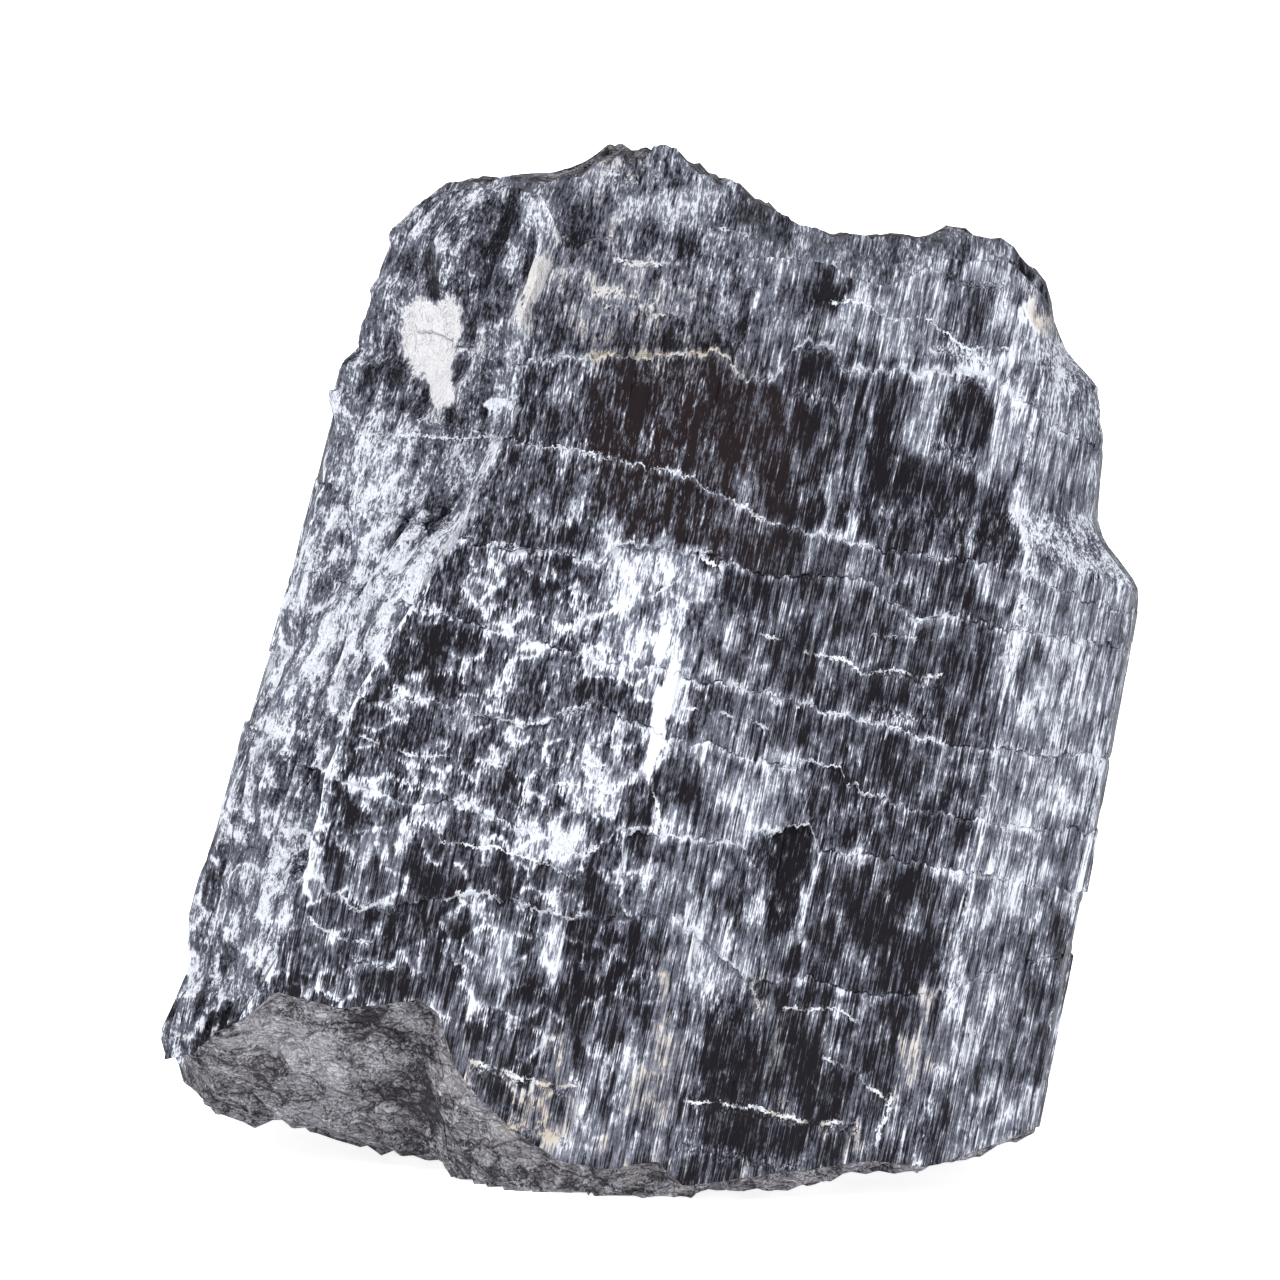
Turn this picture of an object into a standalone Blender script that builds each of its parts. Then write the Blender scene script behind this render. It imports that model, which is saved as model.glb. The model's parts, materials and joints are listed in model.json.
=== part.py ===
# Black tourmaline crystal: a thick, furrowed prism that is broken at both ends.
# It is one grown piece, so it is one closed solid. It stands on its lower break,
# and its long axis leans to the right and a little back.
#
# Crystal frame, in millimetres: u runs across the broad front face, d runs back
# into the crystal, and w runs up along the long axis.
# World frame, in metres: +Z up, the front face towards -Y, and the origin on the
# flat spot that the crystal stands on.

import math

import bpy
import numpy as np

NAME = "tourmaline_crystal"
MM = 0.001

# How the crystal stands.
LEAN_RIGHT = math.radians(12.0)
LEAN_BACK = math.radians(5.0)
CENTRE_HEIGHT = 28.9  # the crystal frame's centre above the surface it stands on

# The long edges of the prism, round from the front left, seen from above against
# the clock. Each has its name, how far the face between it and the next edge
# bulges, and its (w, u, d) points upwards.
EDGES = (
    ("front_left", 0.1, (
        (-31.0, -20.3, -17.2), (-24.5, -19.3, -18.0), (-22.0, -18.3, -18.6),
        (-18.1, -17.4, -19.0), (-9.6, -17.4, -19.0), (-5.7, -16.8, -19.0),
        (5.4, -12.8, -19.2), (11.7, -10.7, -19.0), (18.8, -11.5, -18.6),
        (28.0, -10.3, -18.2))),
    ("front_band", 0.4, (
        (-31.0, -9.2, -19.2), (28.0, -9.2, -18.4))),
    ("front_right", 0.2, (
        (-26.0, 20.3, -19.0), (-3.0, 19.8, -19.0), (10.5, 19.3, -18.8),
        (12.8, 17.9, -18.5), (20.0, 18.0, -18.2), (23.0, 17.2, -18.0),
        (28.0, 15.8, -17.8))),
    ("right_front", 0.5, (
        (-25.0, 26.8, -15.8), (10.1, 25.7, -16.0), (12.2, 23.2, -15.6),
        (13.5, 22.5, -15.2), (18.0, 22.2, -15.0), (20.8, 21.3, -14.6),
        (22.8, 18.9, -14.2), (26.0, 17.9, -14.0), (28.0, 17.4, -14.0))),
    ("right_back", 0.7, (
        (-25.0, 26.2, 3.0), (9.0, 25.2, 3.0), (12.5, 22.2, 2.6),
        (20.0, 20.6, 2.0), (28.0, 18.0, 2.0))),
    ("back_right", 0.7, (
        (-26.0, 15.6, 16.4), (28.0, 13.4, 15.0))),
    ("back_left", 0.7, (
        (-31.0, -8.6, 19.4), (28.0, -7.0, 17.4))),
    ("left_back", 0.5, (
        (-31.0, -21.6, 6.4), (12.0, -20.4, 6.0), (14.0, -19.4, 6.0),
        (28.0, -16.4, 5.4))),
    ("left_front", 0.5, (
        (-29.0, -22.4, -9.6), (-27.5, -23.2, -9.2), (-23.1, -22.7, -9.0),
        (-20.3, -23.4, -9.0), (-9.3, -22.4, -9.0), (0.2, -21.5, -9.0),
        (9.6, -21.1, -9.0), (13.1, -21.2, -9.0), (14.1, -20.4, -8.8),
        (17.8, -20.7, -8.8), (21.2, -20.2, -8.6), (24.7, -17.7, -8.4))),
)
FRONT_FACES = 3  # the faces that the outlines below, over u, belong to

# The upper break: where the front face ends, and the crest behind that rim, as
# (u, w) points, with the front of the crystal there as (u, d) points.
TOP_RIM = (
    (-20.6, 19.5), (-19.4, 22.4), (-17.7, 24.0), (-15.9, 24.8), (-12.2, 25.0),
    (-11.0, 23.5), (-10.2, 22.0), (-4.5, 22.5), (-1.7, 23.4), (1.0, 24.2),
    (4.8, 24.6), (5.8, 24.1), (8.0, 24.1), (11.2, 26.0), (14.5, 26.6),
    (16.5, 25.4), (18.9, 22.4), (21.2, 20.5), (22.2, 19.0))
TOP_CREST = (
    (-20.6, 20.0), (-19.4, 23.0), (-17.7, 24.7), (-15.9, 25.4), (-12.2, 26.0),
    (-10.4, 27.0), (-9.2, 28.2), (-2.8, 28.2), (0.0, 27.2), (2.6, 26.0),
    (6.0, 26.3), (11.0, 27.9), (14.5, 27.6), (17.1, 26.1), (18.6, 22.9),
    (21.4, 20.8), (22.3, 19.2))
TOP_FRONT = ((-20.0, -9.0), (-10.3, -18.2), (17.0, -17.9), (22.0, -15.0))
TOP_BEVEL = 5.0  # how far behind the rim the crest lies
TOP_CURVE = 0.8  # below 1, the bevel is steeper at the rim than at the crest
TOP_FALL = 0.11  # how steeply the break falls behind the crest

# The lower break, in the same way. It faces down and forwards at the front left,
# and shows as a thin lip at the front right.
BASE_RIM = (
    (-23.2, -28.4), (-21.6, -27.6), (-20.2, -25.4), (-19.2, -24.8), (-17.6, -22.6),
    (-13.8, -22.7), (-9.5, -21.3), (-8.3, -21.8), (-6.8, -24.5), (-5.0, -26.1),
    (-2.9, -27.4), (0.3, -28.7), (2.9, -28.6), (5.7, -27.6), (7.4, -28.6),
    (10.9, -27.5), (13.6, -26.4), (17.8, -25.0), (20.7, -24.7), (24.6, -22.6),
    (26.8, -21.5))
BASE_EDGE = (
    (-23.2, -29.2), (-21.8, -30.4), (-15.4, -30.4), (-8.9, -31.2), (-5.2, -31.7),
    (-1.8, -32.0), (4.6, -30.4), (11.2, -28.0), (16.6, -26.2), (20.7, -24.9),
    (24.6, -22.9), (26.8, -21.9))
BASE_FRONT = ((-22.8, -9.0), (-20.2, -17.3), (20.3, -19.0), (26.8, -15.8))
BASE_BEVEL = ((-22.0, 7.0), (-8.0, 7.0), (-3.0, 4.0), (3.0, 1.8), (10.0, 1.0))
BREAK_CALM = 0.15  # roughness of a break at its rim and crest, as a share of the full
BREAK_BEVEL = 0.5  # and half way along the bevel
BREAK_REACH = 6.0  # how far behind the crest it takes to be fully rough

# Cross cracks, from the bottom up, as (u, w) points over the front. Round the
# back each one runs on from its right end to its left end.
CRACKS = (
    ((-17.4, -15.5), (-14.0, -17.0), (-10.5, -15.6), (-7.0, -14.6), (-1.5, -14.9),
     (3.2, -13.4), (6.8, -15.5), (9.0, -16.3), (12.0, -15.4), (15.4, -15.8),
     (19.0, -15.0), (24.0, -12.0), (26.5, -11.6)),
    ((-17.4, -9.9), (-12.0, -10.6), (-9.5, -9.8), (-2.0, -11.3), (-0.5, -9.5),
     (5.5, -8.9), (7.0, -8.7), (7.3, -7.9), (10.4, -7.1), (11.0, -8.2),
     (19.8, -7.6), (26.4, -7.8)),
    ((-16.5, -5.2), (-10.5, -4.2), (-9.0, -4.8), (-6.5, -4.7), (-4.8, -3.6),
     (-3.4, -2.6), (0.5, -3.6), (4.5, -3.6), (7.5, -4.1), (9.3, -3.5),
     (11.2, -3.4), (11.8, -4.2), (16.0, -4.9), (26.2, -4.2)),
    ((-15.0, 0.5), (-5.0, -0.1), (5.0, -0.1), (13.0, -0.4), (16.5, -0.9),
     (26.2, 0.2)),
    ((-13.2, 4.9), (-4.5, 5.3), (-3.9, 6.5), (2.1, 7.0), (3.2, 6.4), (10.5, 7.3),
     (14.0, 5.7), (15.5, 6.4), (19.4, 6.3), (26.0, 6.6)),
    ((-11.0, 11.0), (-5.9, 11.2), (-1.2, 11.1), (5.0, 9.5), (10.8, 9.3),
     (18.0, 9.8), (22.0, 9.0), (25.7, 8.6)),
    ((-11.4, 15.3), (-8.5, 16.4), (-4.3, 17.4), (-0.5, 18.4), (1.3, 17.2),
     (2.8, 17.2), (3.9, 19.9), (5.9, 19.9), (6.4, 18.9), (15.2, 20.2),
     (18.0, 18.8), (22.1, 17.2)),
)
CRACK_GAP = 0.16  # half the height over which the surface steps at a crack
SIDE_WAVE = 1.6  # how far a crack wanders on the hidden sides
SIDE_TURNS = 6.0  # how often it turns there

# Broad steps of the front face at a crack: which crack, from u, to u, how deep
# the surface lies above it or below it, and how far that recess reaches.
ABOVE, BELOW = 1, -1
LEDGES = (
    (6, ABOVE, -11.6, 1.9, 0.75, 30.0),
    (6, ABOVE, 1.9, 16.0, 0.45, 30.0),
    (4, BELOW, -4.0, 2.4, 0.35, 5.0),
    (2, BELOW, -10.0, -3.2, 0.30, 4.0),
    (2, BELOW, 9.2, 14.0, 0.35, 4.0),
    (1, BELOW, 6.9, 10.7, 0.60, 6.0),
    (1, BELOW, 0.2, 1.8, 0.45, 4.0),
    (0, BELOW, -14.2, 3.4, 0.30, 5.0),
    (0, BELOW, 5.2, 10.0, 0.35, 3.5),
)

# Flakes gone from the front face, as their sides in u, their ends in w and depth.
FLAKES = (
    (-8.4, -4.4, 20.2, 22.4, 0.30), (-0.1, 1.0, 18.9, 22.2, 0.30),
    (11.1, 14.9, 20.9, 25.3, 0.35), (12.5, 15.2, 15.4, 19.6, 0.25),
    (3.9, 5.9, 17.0, 19.8, 0.25), (11.9, 16.0, 0.2, 2.6, 0.25),
    (-13.9, -11.0, -20.0, -16.6, 0.25), (-6.0, 0.6, -27.5, -24.4, 0.35),
    (6.4, 16.4, -26.5, -23.5, 0.25))
FLAKE_EDGE = 0.3

# Upright panels of the front face, bounded by its deepest furrows, over u.
PANELS = (-17.0, -14.5, -12.0, -10.0, -7.6, -4.9, -3.8, -2.2, -0.1, 1.2, 2.4, 3.9,
          5.3, 6.9, 9.0, 10.5, 11.9, 13.4, 15.0, 16.8, 18.2, 19.8, 21.6, 23.9)
PANEL_STEP = 0.16  # how far a panel stands in or out
FLUTE_PITCH = 2.3  # the broad furrows between panels
FLUTE_LENGTH = 40.0
FLUTE_DEPTH = 0.16
SIDE_FLUTE_DEPTH = 0.38  # deeper on the sides and back
SIDE_PANEL = 2.4
SIDE_STEP = 0.22
SCAR_SIZE = (9.0, 13.0)  # flakes gone from the sides and back, around and along
SCAR_DEPTH = 0.9
SCAR_EDGE = (0.18, 0.30)  # the noise value at which a scar starts and is full depth
LUMP_HEIGHT = 0.75  # the broken left side
LUMP_SIZE = 4.2
LUMP_LENGTH = 6.72
SMALL_LUMPS = 0.5  # lumps of half the size, as a share of the height
LUMP_EDGE = 0.3  # share of the left side over which the lumps die out at its front edge

# Hollows in the left side, as (u, w), radius along u and w, and depth.
HOLLOWS = (((-14.9, 6.4), (2.0, 1.9), 1.0), ((-18.6, 2.0), (1.3, 1.5), 0.6),
           ((-15.6, 17.0), (1.2, 2.6), 0.7), ((-12.2, 20.4), (0.8, 2.6), 0.8),
           ((-21.0, -22.4), (1.1, 1.0), 0.5))

# The surface is first worked out on a close net, then thinned to few triangles.
FRONT_COLUMN = 0.5
SIDE_COLUMN = 0.9
STRETCH_ROWS = (20, 11, 8, 8, 12, 8, 14, 12)  # between the base, the cracks and the top
CAP_RINGS = 20
CAP_CENTRE = (2.0, -1.0)
TRIANGLES = 9000
FLAT_WITHIN = 0.1  # points this near the standing plane are set on it

# Rough fracture on both breaks.
CHIP_SIZE = 5.2
CHIP_HEIGHT = 1.1
CHIP_CREASE = 14.0  # higher makes sharper creases between chips
CHIP_LEVEL = 0.6  # how far chips lie above or below each other
GRAIN_SIZE = 2.4
GRAIN_HEIGHT = 0.35

# Each pattern draws fixed values of its own.
TOP_SEED, BASE_SEED, CRACK_SEED = 11, 21, 31
PANEL_SEED, FLUTE_SEED, SCAR_SEED = 41, 42, 46
LUMP_SEED, SMALL_LUMP_SEED = 44, 45

# Where the search for the height of a break starts, and how often it is repeated.
TOP_START, BASE_START = 25.0, -25.0
SETTLE_STEPS = 6
SIDE_PANELS_FROM = 100  # keeps the numbers of the side panels apart from the front's

BLACK = (0.022, 0.021, 0.024, 1.0)


def hashed(i, j, k, seed):
    """A fixed value from 0 to 1 for each point of an endless grid."""
    number = (i * 374761393 + j * 668265263 + k * 974634777 + seed * 1274126177) & 0xFFFFFFFF
    number = ((number ^ (number >> 13)) * 1103515245) & 0xFFFFFFFF
    return ((number ^ (number >> 16)) & 0xFFFFFF) / 0xFFFFFF


def noise(x, y, z, seed):
    """Smooth noise from -1 to 1 that turns about once in each unit."""
    cell = [np.floor(c).astype(np.int64) for c in (x, y, z)]
    ease = [(c - f) ** 2 * (3.0 - 2.0 * (c - f)) for c, f in zip((x, y, z), cell)]
    total = 0.0
    for corner in range(8):
        step = (corner & 1, corner >> 1 & 1, corner >> 2)
        weight = 1.0
        for share, side in zip(ease, step):
            weight = weight * (share if side else 1.0 - share)
        at = [c + s for c, s in zip(cell, step)]
        total = total + weight * hashed(*at, seed)
    return 2.0 * total - 1.0


def chips(x, y, seed):
    """Flat chips with a slope of their own, about -1 to 1, one to each unit."""
    column, row = np.floor(x).astype(np.int64), np.floor(y).astype(np.int64)
    total, weights = 0.0, 0.0
    for i in (-1, 0, 1):
        for j in (-1, 0, 1):
            a, b = column + i, row + j
            dx = x - a - hashed(a, b, 0, seed)
            dy = y - b - hashed(a, b, 1, seed)
            slope_x, slope_y, level = (2.0 * hashed(a, b, n, seed) - 1.0 for n in (2, 3, 4))
            weight = np.exp(-CHIP_CREASE * (dx * dx + dy * dy))
            total = total + weight * (CHIP_LEVEL * level + slope_x * dx + slope_y * dy)
            weights = weights + weight
    return total / weights


def along(points, at):
    """Read an outline given as (position, value) points."""
    positions, values = zip(*points)
    return np.interp(at, positions, values)


def smooth(low, high, value):
    """0 below low, 1 above high, and an even turn between."""
    share = np.clip((value - low) / (high - low), 0.0, 1.0)
    return share * share * (3.0 - 2.0 * share)


def prism(face, share, w):
    """Points (u, d) of the prism's plain faces: face number, share across it, height."""
    face, share = np.broadcast_to(face, w.shape), np.broadcast_to(share, w.shape)
    u, d = np.zeros(w.shape), np.zeros(w.shape)
    for number in range(len(EDGES)):
        here = face == number
        ends = []
        for edge in (EDGES[number], EDGES[(number + 1) % len(EDGES)]):
            heights, across, back = zip(*edge[2])
            ends.append((np.interp(w[here], heights, across), np.interp(w[here], heights, back)))
        (u0, d0), (u1, d1) = ends
        bulge = EDGES[number][1] * 4.0 * share[here] * (1.0 - share[here])
        length = np.hypot(u1 - u0, d1 - d0)
        u[here] = u0 + (u1 - u0) * share[here] + bulge * (d1 - d0) / length
        d[here] = d0 + (d1 - d0) * share[here] - bulge * (u1 - u0) / length
    return u, d


def floor_height(u, d):
    """The w of the surface that the crystal stands on."""
    rise = d * math.sin(LEAN_BACK) + u * math.sin(LEAN_RIGHT) * math.cos(LEAN_BACK)
    return (rise - CENTRE_HEIGHT) / (math.cos(LEAN_RIGHT) * math.cos(LEAN_BACK))


def fracture(u, d, behind, bevel, seed):
    """Roughness of a break: slight at the rim and crest, strong behind the crest."""
    along_bevel = np.clip(behind / bevel, 0.0, 1.0)
    strength = BREAK_CALM + BREAK_BEVEL * 4.0 * along_bevel * (1.0 - along_bevel)
    strength = strength + (1.0 - BREAK_CALM) * smooth(bevel, bevel + BREAK_REACH, behind)
    rough = CHIP_HEIGHT * chips(u / CHIP_SIZE, d / CHIP_SIZE, seed)
    rough = rough + GRAIN_HEIGHT * noise(u / GRAIN_SIZE, d / GRAIN_SIZE, 0.0, seed + 1)
    return rough * strength


def top_height(u, d):
    """The w of the upper break: a bevel from the rim to the crest, then a rough fall."""
    behind = np.maximum(d - along(TOP_FRONT, u), 0.0)
    bevel = np.clip(behind / TOP_BEVEL, 0.0, 1.0) ** TOP_CURVE
    rim = along(TOP_RIM, u)
    fall = TOP_FALL * np.maximum(behind - TOP_BEVEL, 0.0)
    rough = fracture(u, d, behind, TOP_BEVEL, TOP_SEED)
    return rim + (along(TOP_CREST, u) - rim) * bevel - fall + rough


def base_height(u, d):
    """The w of the lower break, which is worn flat where the crystal stands."""
    behind = np.maximum(d - along(BASE_FRONT, u), 0.0)
    reach = along(BASE_BEVEL, u)
    bevel = np.clip(behind / reach, 0.0, 1.0)
    rim = along(BASE_RIM, u)
    height = rim + (along(BASE_EDGE, u) - rim) * bevel
    height = height + fracture(u, d, behind, reach, BASE_SEED)
    return np.maximum(height, floor_height(u, d))


def settle(face, share, height, start):
    """The w at which each column meets a height given over u and d."""
    w = np.full(face.shape, start)
    for _ in range(SETTLE_STEPS):
        w = height(*prism(face, share, w))
    return w


def crack_height(face, share, crack):
    """The w of a cross crack in each column, right round the crystal."""
    front = settle(face, share, lambda u, d: along(crack, u), 0.0)
    left, right = crack[0][1], crack[-1][1]
    round_back = np.clip((face + share - FRONT_FACES) / (len(EDGES) - FRONT_FACES), 0.0, 1.0)
    wave = SIDE_WAVE * noise(SIDE_TURNS * round_back, 0.0, 0.0, CRACK_SEED)
    hidden = right + (left - right) * round_back + wave * np.sin(math.pi * round_back)
    return np.where(face < FRONT_FACES, front, hidden)


def side_rows(face, share):
    """Heights of the mesh rows up the sides, and which stretch each row is in."""
    lines = [settle(face, share, base_height, BASE_START)]
    lines += [crack_height(face, share, crack) for crack in CRACKS]
    lines.append(settle(face, share, top_height, TOP_START))
    heights, stretches = [], []
    for number, rows in enumerate(STRETCH_ROWS):
        low = lines[number] + (CRACK_GAP if number else 0.0)
        high = lines[number + 1] - (CRACK_GAP if number + 1 < len(STRETCH_ROWS) else 0.0)
        for row in range(rows + 1):
            heights.append(low + (high - low) * row / rows)
            stretches.append(number)
    return np.array(heights), np.array(stretches)[:, None], lines[1:-1]


def relief(face, share, around, w, u, d, stretch, cracks):
    """How far the surface stands out from the plain prism."""
    face, share = np.broadcast_to(face, w.shape), np.broadcast_to(share, w.shape)
    front = face < FRONT_FACES
    left = face == len(EDGES) - 1
    across = np.where(front, u, around)

    side_panel = np.floor(around / SIDE_PANEL) + SIDE_PANELS_FROM
    panel = np.where(front, np.searchsorted(PANELS, across), side_panel).astype(np.int64)
    level = 2.0 * hashed(panel, stretch, 0, PANEL_SEED) - 1.0
    flute = noise(across / FLUTE_PITCH, w / FLUTE_LENGTH, 0.0, FLUTE_SEED)
    scar = noise(around / SCAR_SIZE[0], w / SCAR_SIZE[1], 0.0, SCAR_SEED)
    scar = SCAR_DEPTH * smooth(*SCAR_EDGE, scar)
    side = SIDE_STEP * level + SIDE_FLUTE_DEPTH * flute - scar
    out = np.where(front, PANEL_STEP * level + FLUTE_DEPTH * flute, side)

    for crack, way, start, end, depth, reach in LEDGES:
        off = way * (w - cracks[crack])
        inside = (off > 0.0) & (across > start) & (across < end) & front
        out = out - np.where(inside, depth * np.clip(1.0 - off / reach, 0.0, 1.0), 0.0)

    for low_u, high_u, low_w, high_w, depth in FLAKES:
        gone = smooth(low_u, low_u + FLAKE_EDGE, across) * smooth(low_w, low_w + FLAKE_EDGE, w)
        gone = gone * smooth(-high_u, FLAKE_EDGE - high_u, -across)
        gone = gone * smooth(-high_w, FLAKE_EDGE - high_w, -w)
        out = out - np.where(front, depth * gone, 0.0)

    half = LUMP_SIZE / 2.0
    lumps = noise(u / LUMP_SIZE, d / LUMP_SIZE, w / LUMP_LENGTH, LUMP_SEED)
    lumps = lumps + SMALL_LUMPS * noise(u / half, d / half, w / LUMP_SIZE, SMALL_LUMP_SEED)
    fade = np.where(left, smooth(0.0, LUMP_EDGE, 1.0 - share), 0.0)
    out = out + LUMP_HEIGHT * fade * lumps
    for (at_u, at_w), (wide, high), depth in HOLLOWS:
        away = ((u - at_u) / wide) ** 2 + ((w - at_w) / high) ** 2
        out = out - np.where(left | (face == 0), depth * np.exp(-away), 0.0)
    return out


def outward(u, d):
    """Unit vectors across the section, square to each row of points."""
    du = np.roll(u, -1, axis=1) - np.roll(u, 1, axis=1)
    dd = np.roll(d, -1, axis=1) - np.roll(d, 1, axis=1)
    length = np.hypot(du, dd)
    return dd / length, -du / length


def close_end(u, d, height):
    """Rings from a rim of points in to the middle of a break."""
    rings = []
    for ring in range(1, CAP_RINGS):
        share = ring / CAP_RINGS
        ring_u = u + (CAP_CENTRE[0] - u) * share
        ring_d = d + (CAP_CENTRE[1] - d) * share
        rings.append(np.stack((ring_u, ring_d, height(ring_u, ring_d)), axis=1))
    u0, d0 = np.array([CAP_CENTRE[0]]), np.array([CAP_CENTRE[1]])
    return rings, np.array([u0[0], d0[0], height(u0, d0)[0]])


def spread_columns():
    """Each column's face number, share across that face, and way round the crystal."""
    corners = [[along([(p[0], p[n]) for p in edge[2]], 0.0) for n in (1, 2)] for edge in EDGES]
    faces, shares, arounds = [], [], []
    distance = 0.0
    for number, corner in enumerate(corners):
        width = math.dist(corner, corners[(number + 1) % len(EDGES)])
        pitch = FRONT_COLUMN if number < FRONT_FACES else SIDE_COLUMN
        count = round(width / pitch)
        share = np.arange(count) / count
        faces.append(np.full(count, number))
        shares.append(share)
        arounds.append(distance + width * share)
        distance += width
    return np.concatenate(faces), np.concatenate(shares), np.concatenate(arounds)


def crystal_points():
    """The closed net of points: a base point, rings of equal length, a top point."""
    face, share, around = spread_columns()
    w, stretch, cracks = side_rows(face, share)
    u, d = prism(face, share, w)
    out = relief(face, share, around, w, u, d, stretch, cracks)
    normal_u, normal_d = outward(u, d)
    u, d = u + normal_u * out, d + normal_d * out
    base, base_point = close_end(u[0], d[0], base_height)
    top, top_point = close_end(u[-1], d[-1], top_height)
    w[0], w[-1] = base_height(u[0], d[0]), top_height(u[-1], d[-1])
    sides = list(np.stack((u, d, w), axis=2))
    return base_point, np.array(base[::-1] + sides + top), top_point


def stand(points):
    """Turn crystal millimetres into world metres."""
    u, d, w = points.T
    x = u * math.cos(LEAN_RIGHT) + w * math.sin(LEAN_RIGHT)
    rise = w * math.cos(LEAN_RIGHT) - u * math.sin(LEAN_RIGHT)
    y = d * math.cos(LEAN_BACK) + rise * math.sin(LEAN_BACK)
    z = rise * math.cos(LEAN_BACK) - d * math.sin(LEAN_BACK) + CENTRE_HEIGHT
    return np.stack((x, y, z), axis=1) * MM


def loft_faces(rings, columns):
    """Faces over rings of equal length, with a fan to one point at each end."""
    faces = []
    for column in range(columns):
        after = (column + 1) % columns
        faces.append((0, 1 + after, 1 + column))
        for ring in range(rings - 1):
            low, high = 1 + ring * columns, 1 + (ring + 1) * columns
            faces.append((low + column, low + after, high + after, high + column))
        last = 1 + (rings - 1) * columns
        faces.append((last + column, last + after, rings * columns + 1))
    return faces


def black_material():
    """Vitreous near-black with a dusty sheen."""
    material = bpy.data.materials.new("black_tourmaline")
    material.use_nodes = True
    material.diffuse_color = BLACK
    shader = material.node_tree.nodes["Principled BSDF"]
    shader.inputs["Base Color"].default_value = BLACK
    shader.inputs["Roughness"].default_value = 0.42
    shader.inputs["Metallic"].default_value = 0.0
    return material


def flatten_base(crystal):
    """Apply the crystal's modifiers, then set the spot that it stands on exactly flat."""
    thinned = crystal.evaluated_get(bpy.context.evaluated_depsgraph_get())
    crystal.data = bpy.data.meshes.new_from_object(thinned)
    crystal.modifiers.clear()
    for vertex in crystal.data.vertices:
        if vertex.co.z < FLAT_WITHIN * MM:
            vertex.co.z = 0.0


def build_crystal(collection):
    base_point, rings, top_point = crystal_points()
    count, columns = rings.shape[:2]
    points = np.concatenate((base_point[None], rings.reshape(-1, 3), top_point[None]))
    mesh = bpy.data.meshes.new(NAME)
    mesh.from_pydata(stand(points).tolist(), [], loft_faces(count, columns))
    mesh.materials.append(black_material())
    mesh.update()
    crystal = bpy.data.objects.new(NAME, mesh)
    collection.objects.link(crystal)
    thin = crystal.modifiers.new("thin_out", "DECIMATE")
    thin.ratio = TRIANGLES / (2 * count * columns)
    flatten_base(crystal)
    return crystal


for old in list(bpy.data.objects):
    bpy.data.objects.remove(old, do_unlink=True)

crystal_collection = bpy.data.collections.new("tourmaline_crystal_parts")
bpy.context.scene.collection.children.link(crystal_collection)
build_crystal(crystal_collection)
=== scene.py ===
import json
import math

import bpy
import numpy as np
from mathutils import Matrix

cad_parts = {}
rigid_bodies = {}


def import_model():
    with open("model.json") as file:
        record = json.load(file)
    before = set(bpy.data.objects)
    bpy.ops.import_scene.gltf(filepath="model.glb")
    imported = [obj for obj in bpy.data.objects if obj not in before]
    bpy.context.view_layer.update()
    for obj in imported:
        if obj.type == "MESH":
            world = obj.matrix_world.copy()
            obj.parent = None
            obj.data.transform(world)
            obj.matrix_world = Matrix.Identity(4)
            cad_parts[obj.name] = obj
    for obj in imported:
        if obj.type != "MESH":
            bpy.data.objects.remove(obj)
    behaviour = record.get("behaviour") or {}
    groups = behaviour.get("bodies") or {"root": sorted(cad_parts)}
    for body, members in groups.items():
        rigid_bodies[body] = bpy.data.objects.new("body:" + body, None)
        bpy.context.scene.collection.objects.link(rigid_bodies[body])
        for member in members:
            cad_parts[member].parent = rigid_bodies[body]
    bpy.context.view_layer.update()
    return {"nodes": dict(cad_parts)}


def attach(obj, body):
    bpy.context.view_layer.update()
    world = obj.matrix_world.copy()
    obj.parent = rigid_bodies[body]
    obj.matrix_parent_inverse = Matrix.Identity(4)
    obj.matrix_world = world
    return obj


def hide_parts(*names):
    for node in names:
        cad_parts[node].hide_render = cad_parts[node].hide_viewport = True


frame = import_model()
print("frame loaded:", ", ".join(frame["nodes"]))


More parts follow.
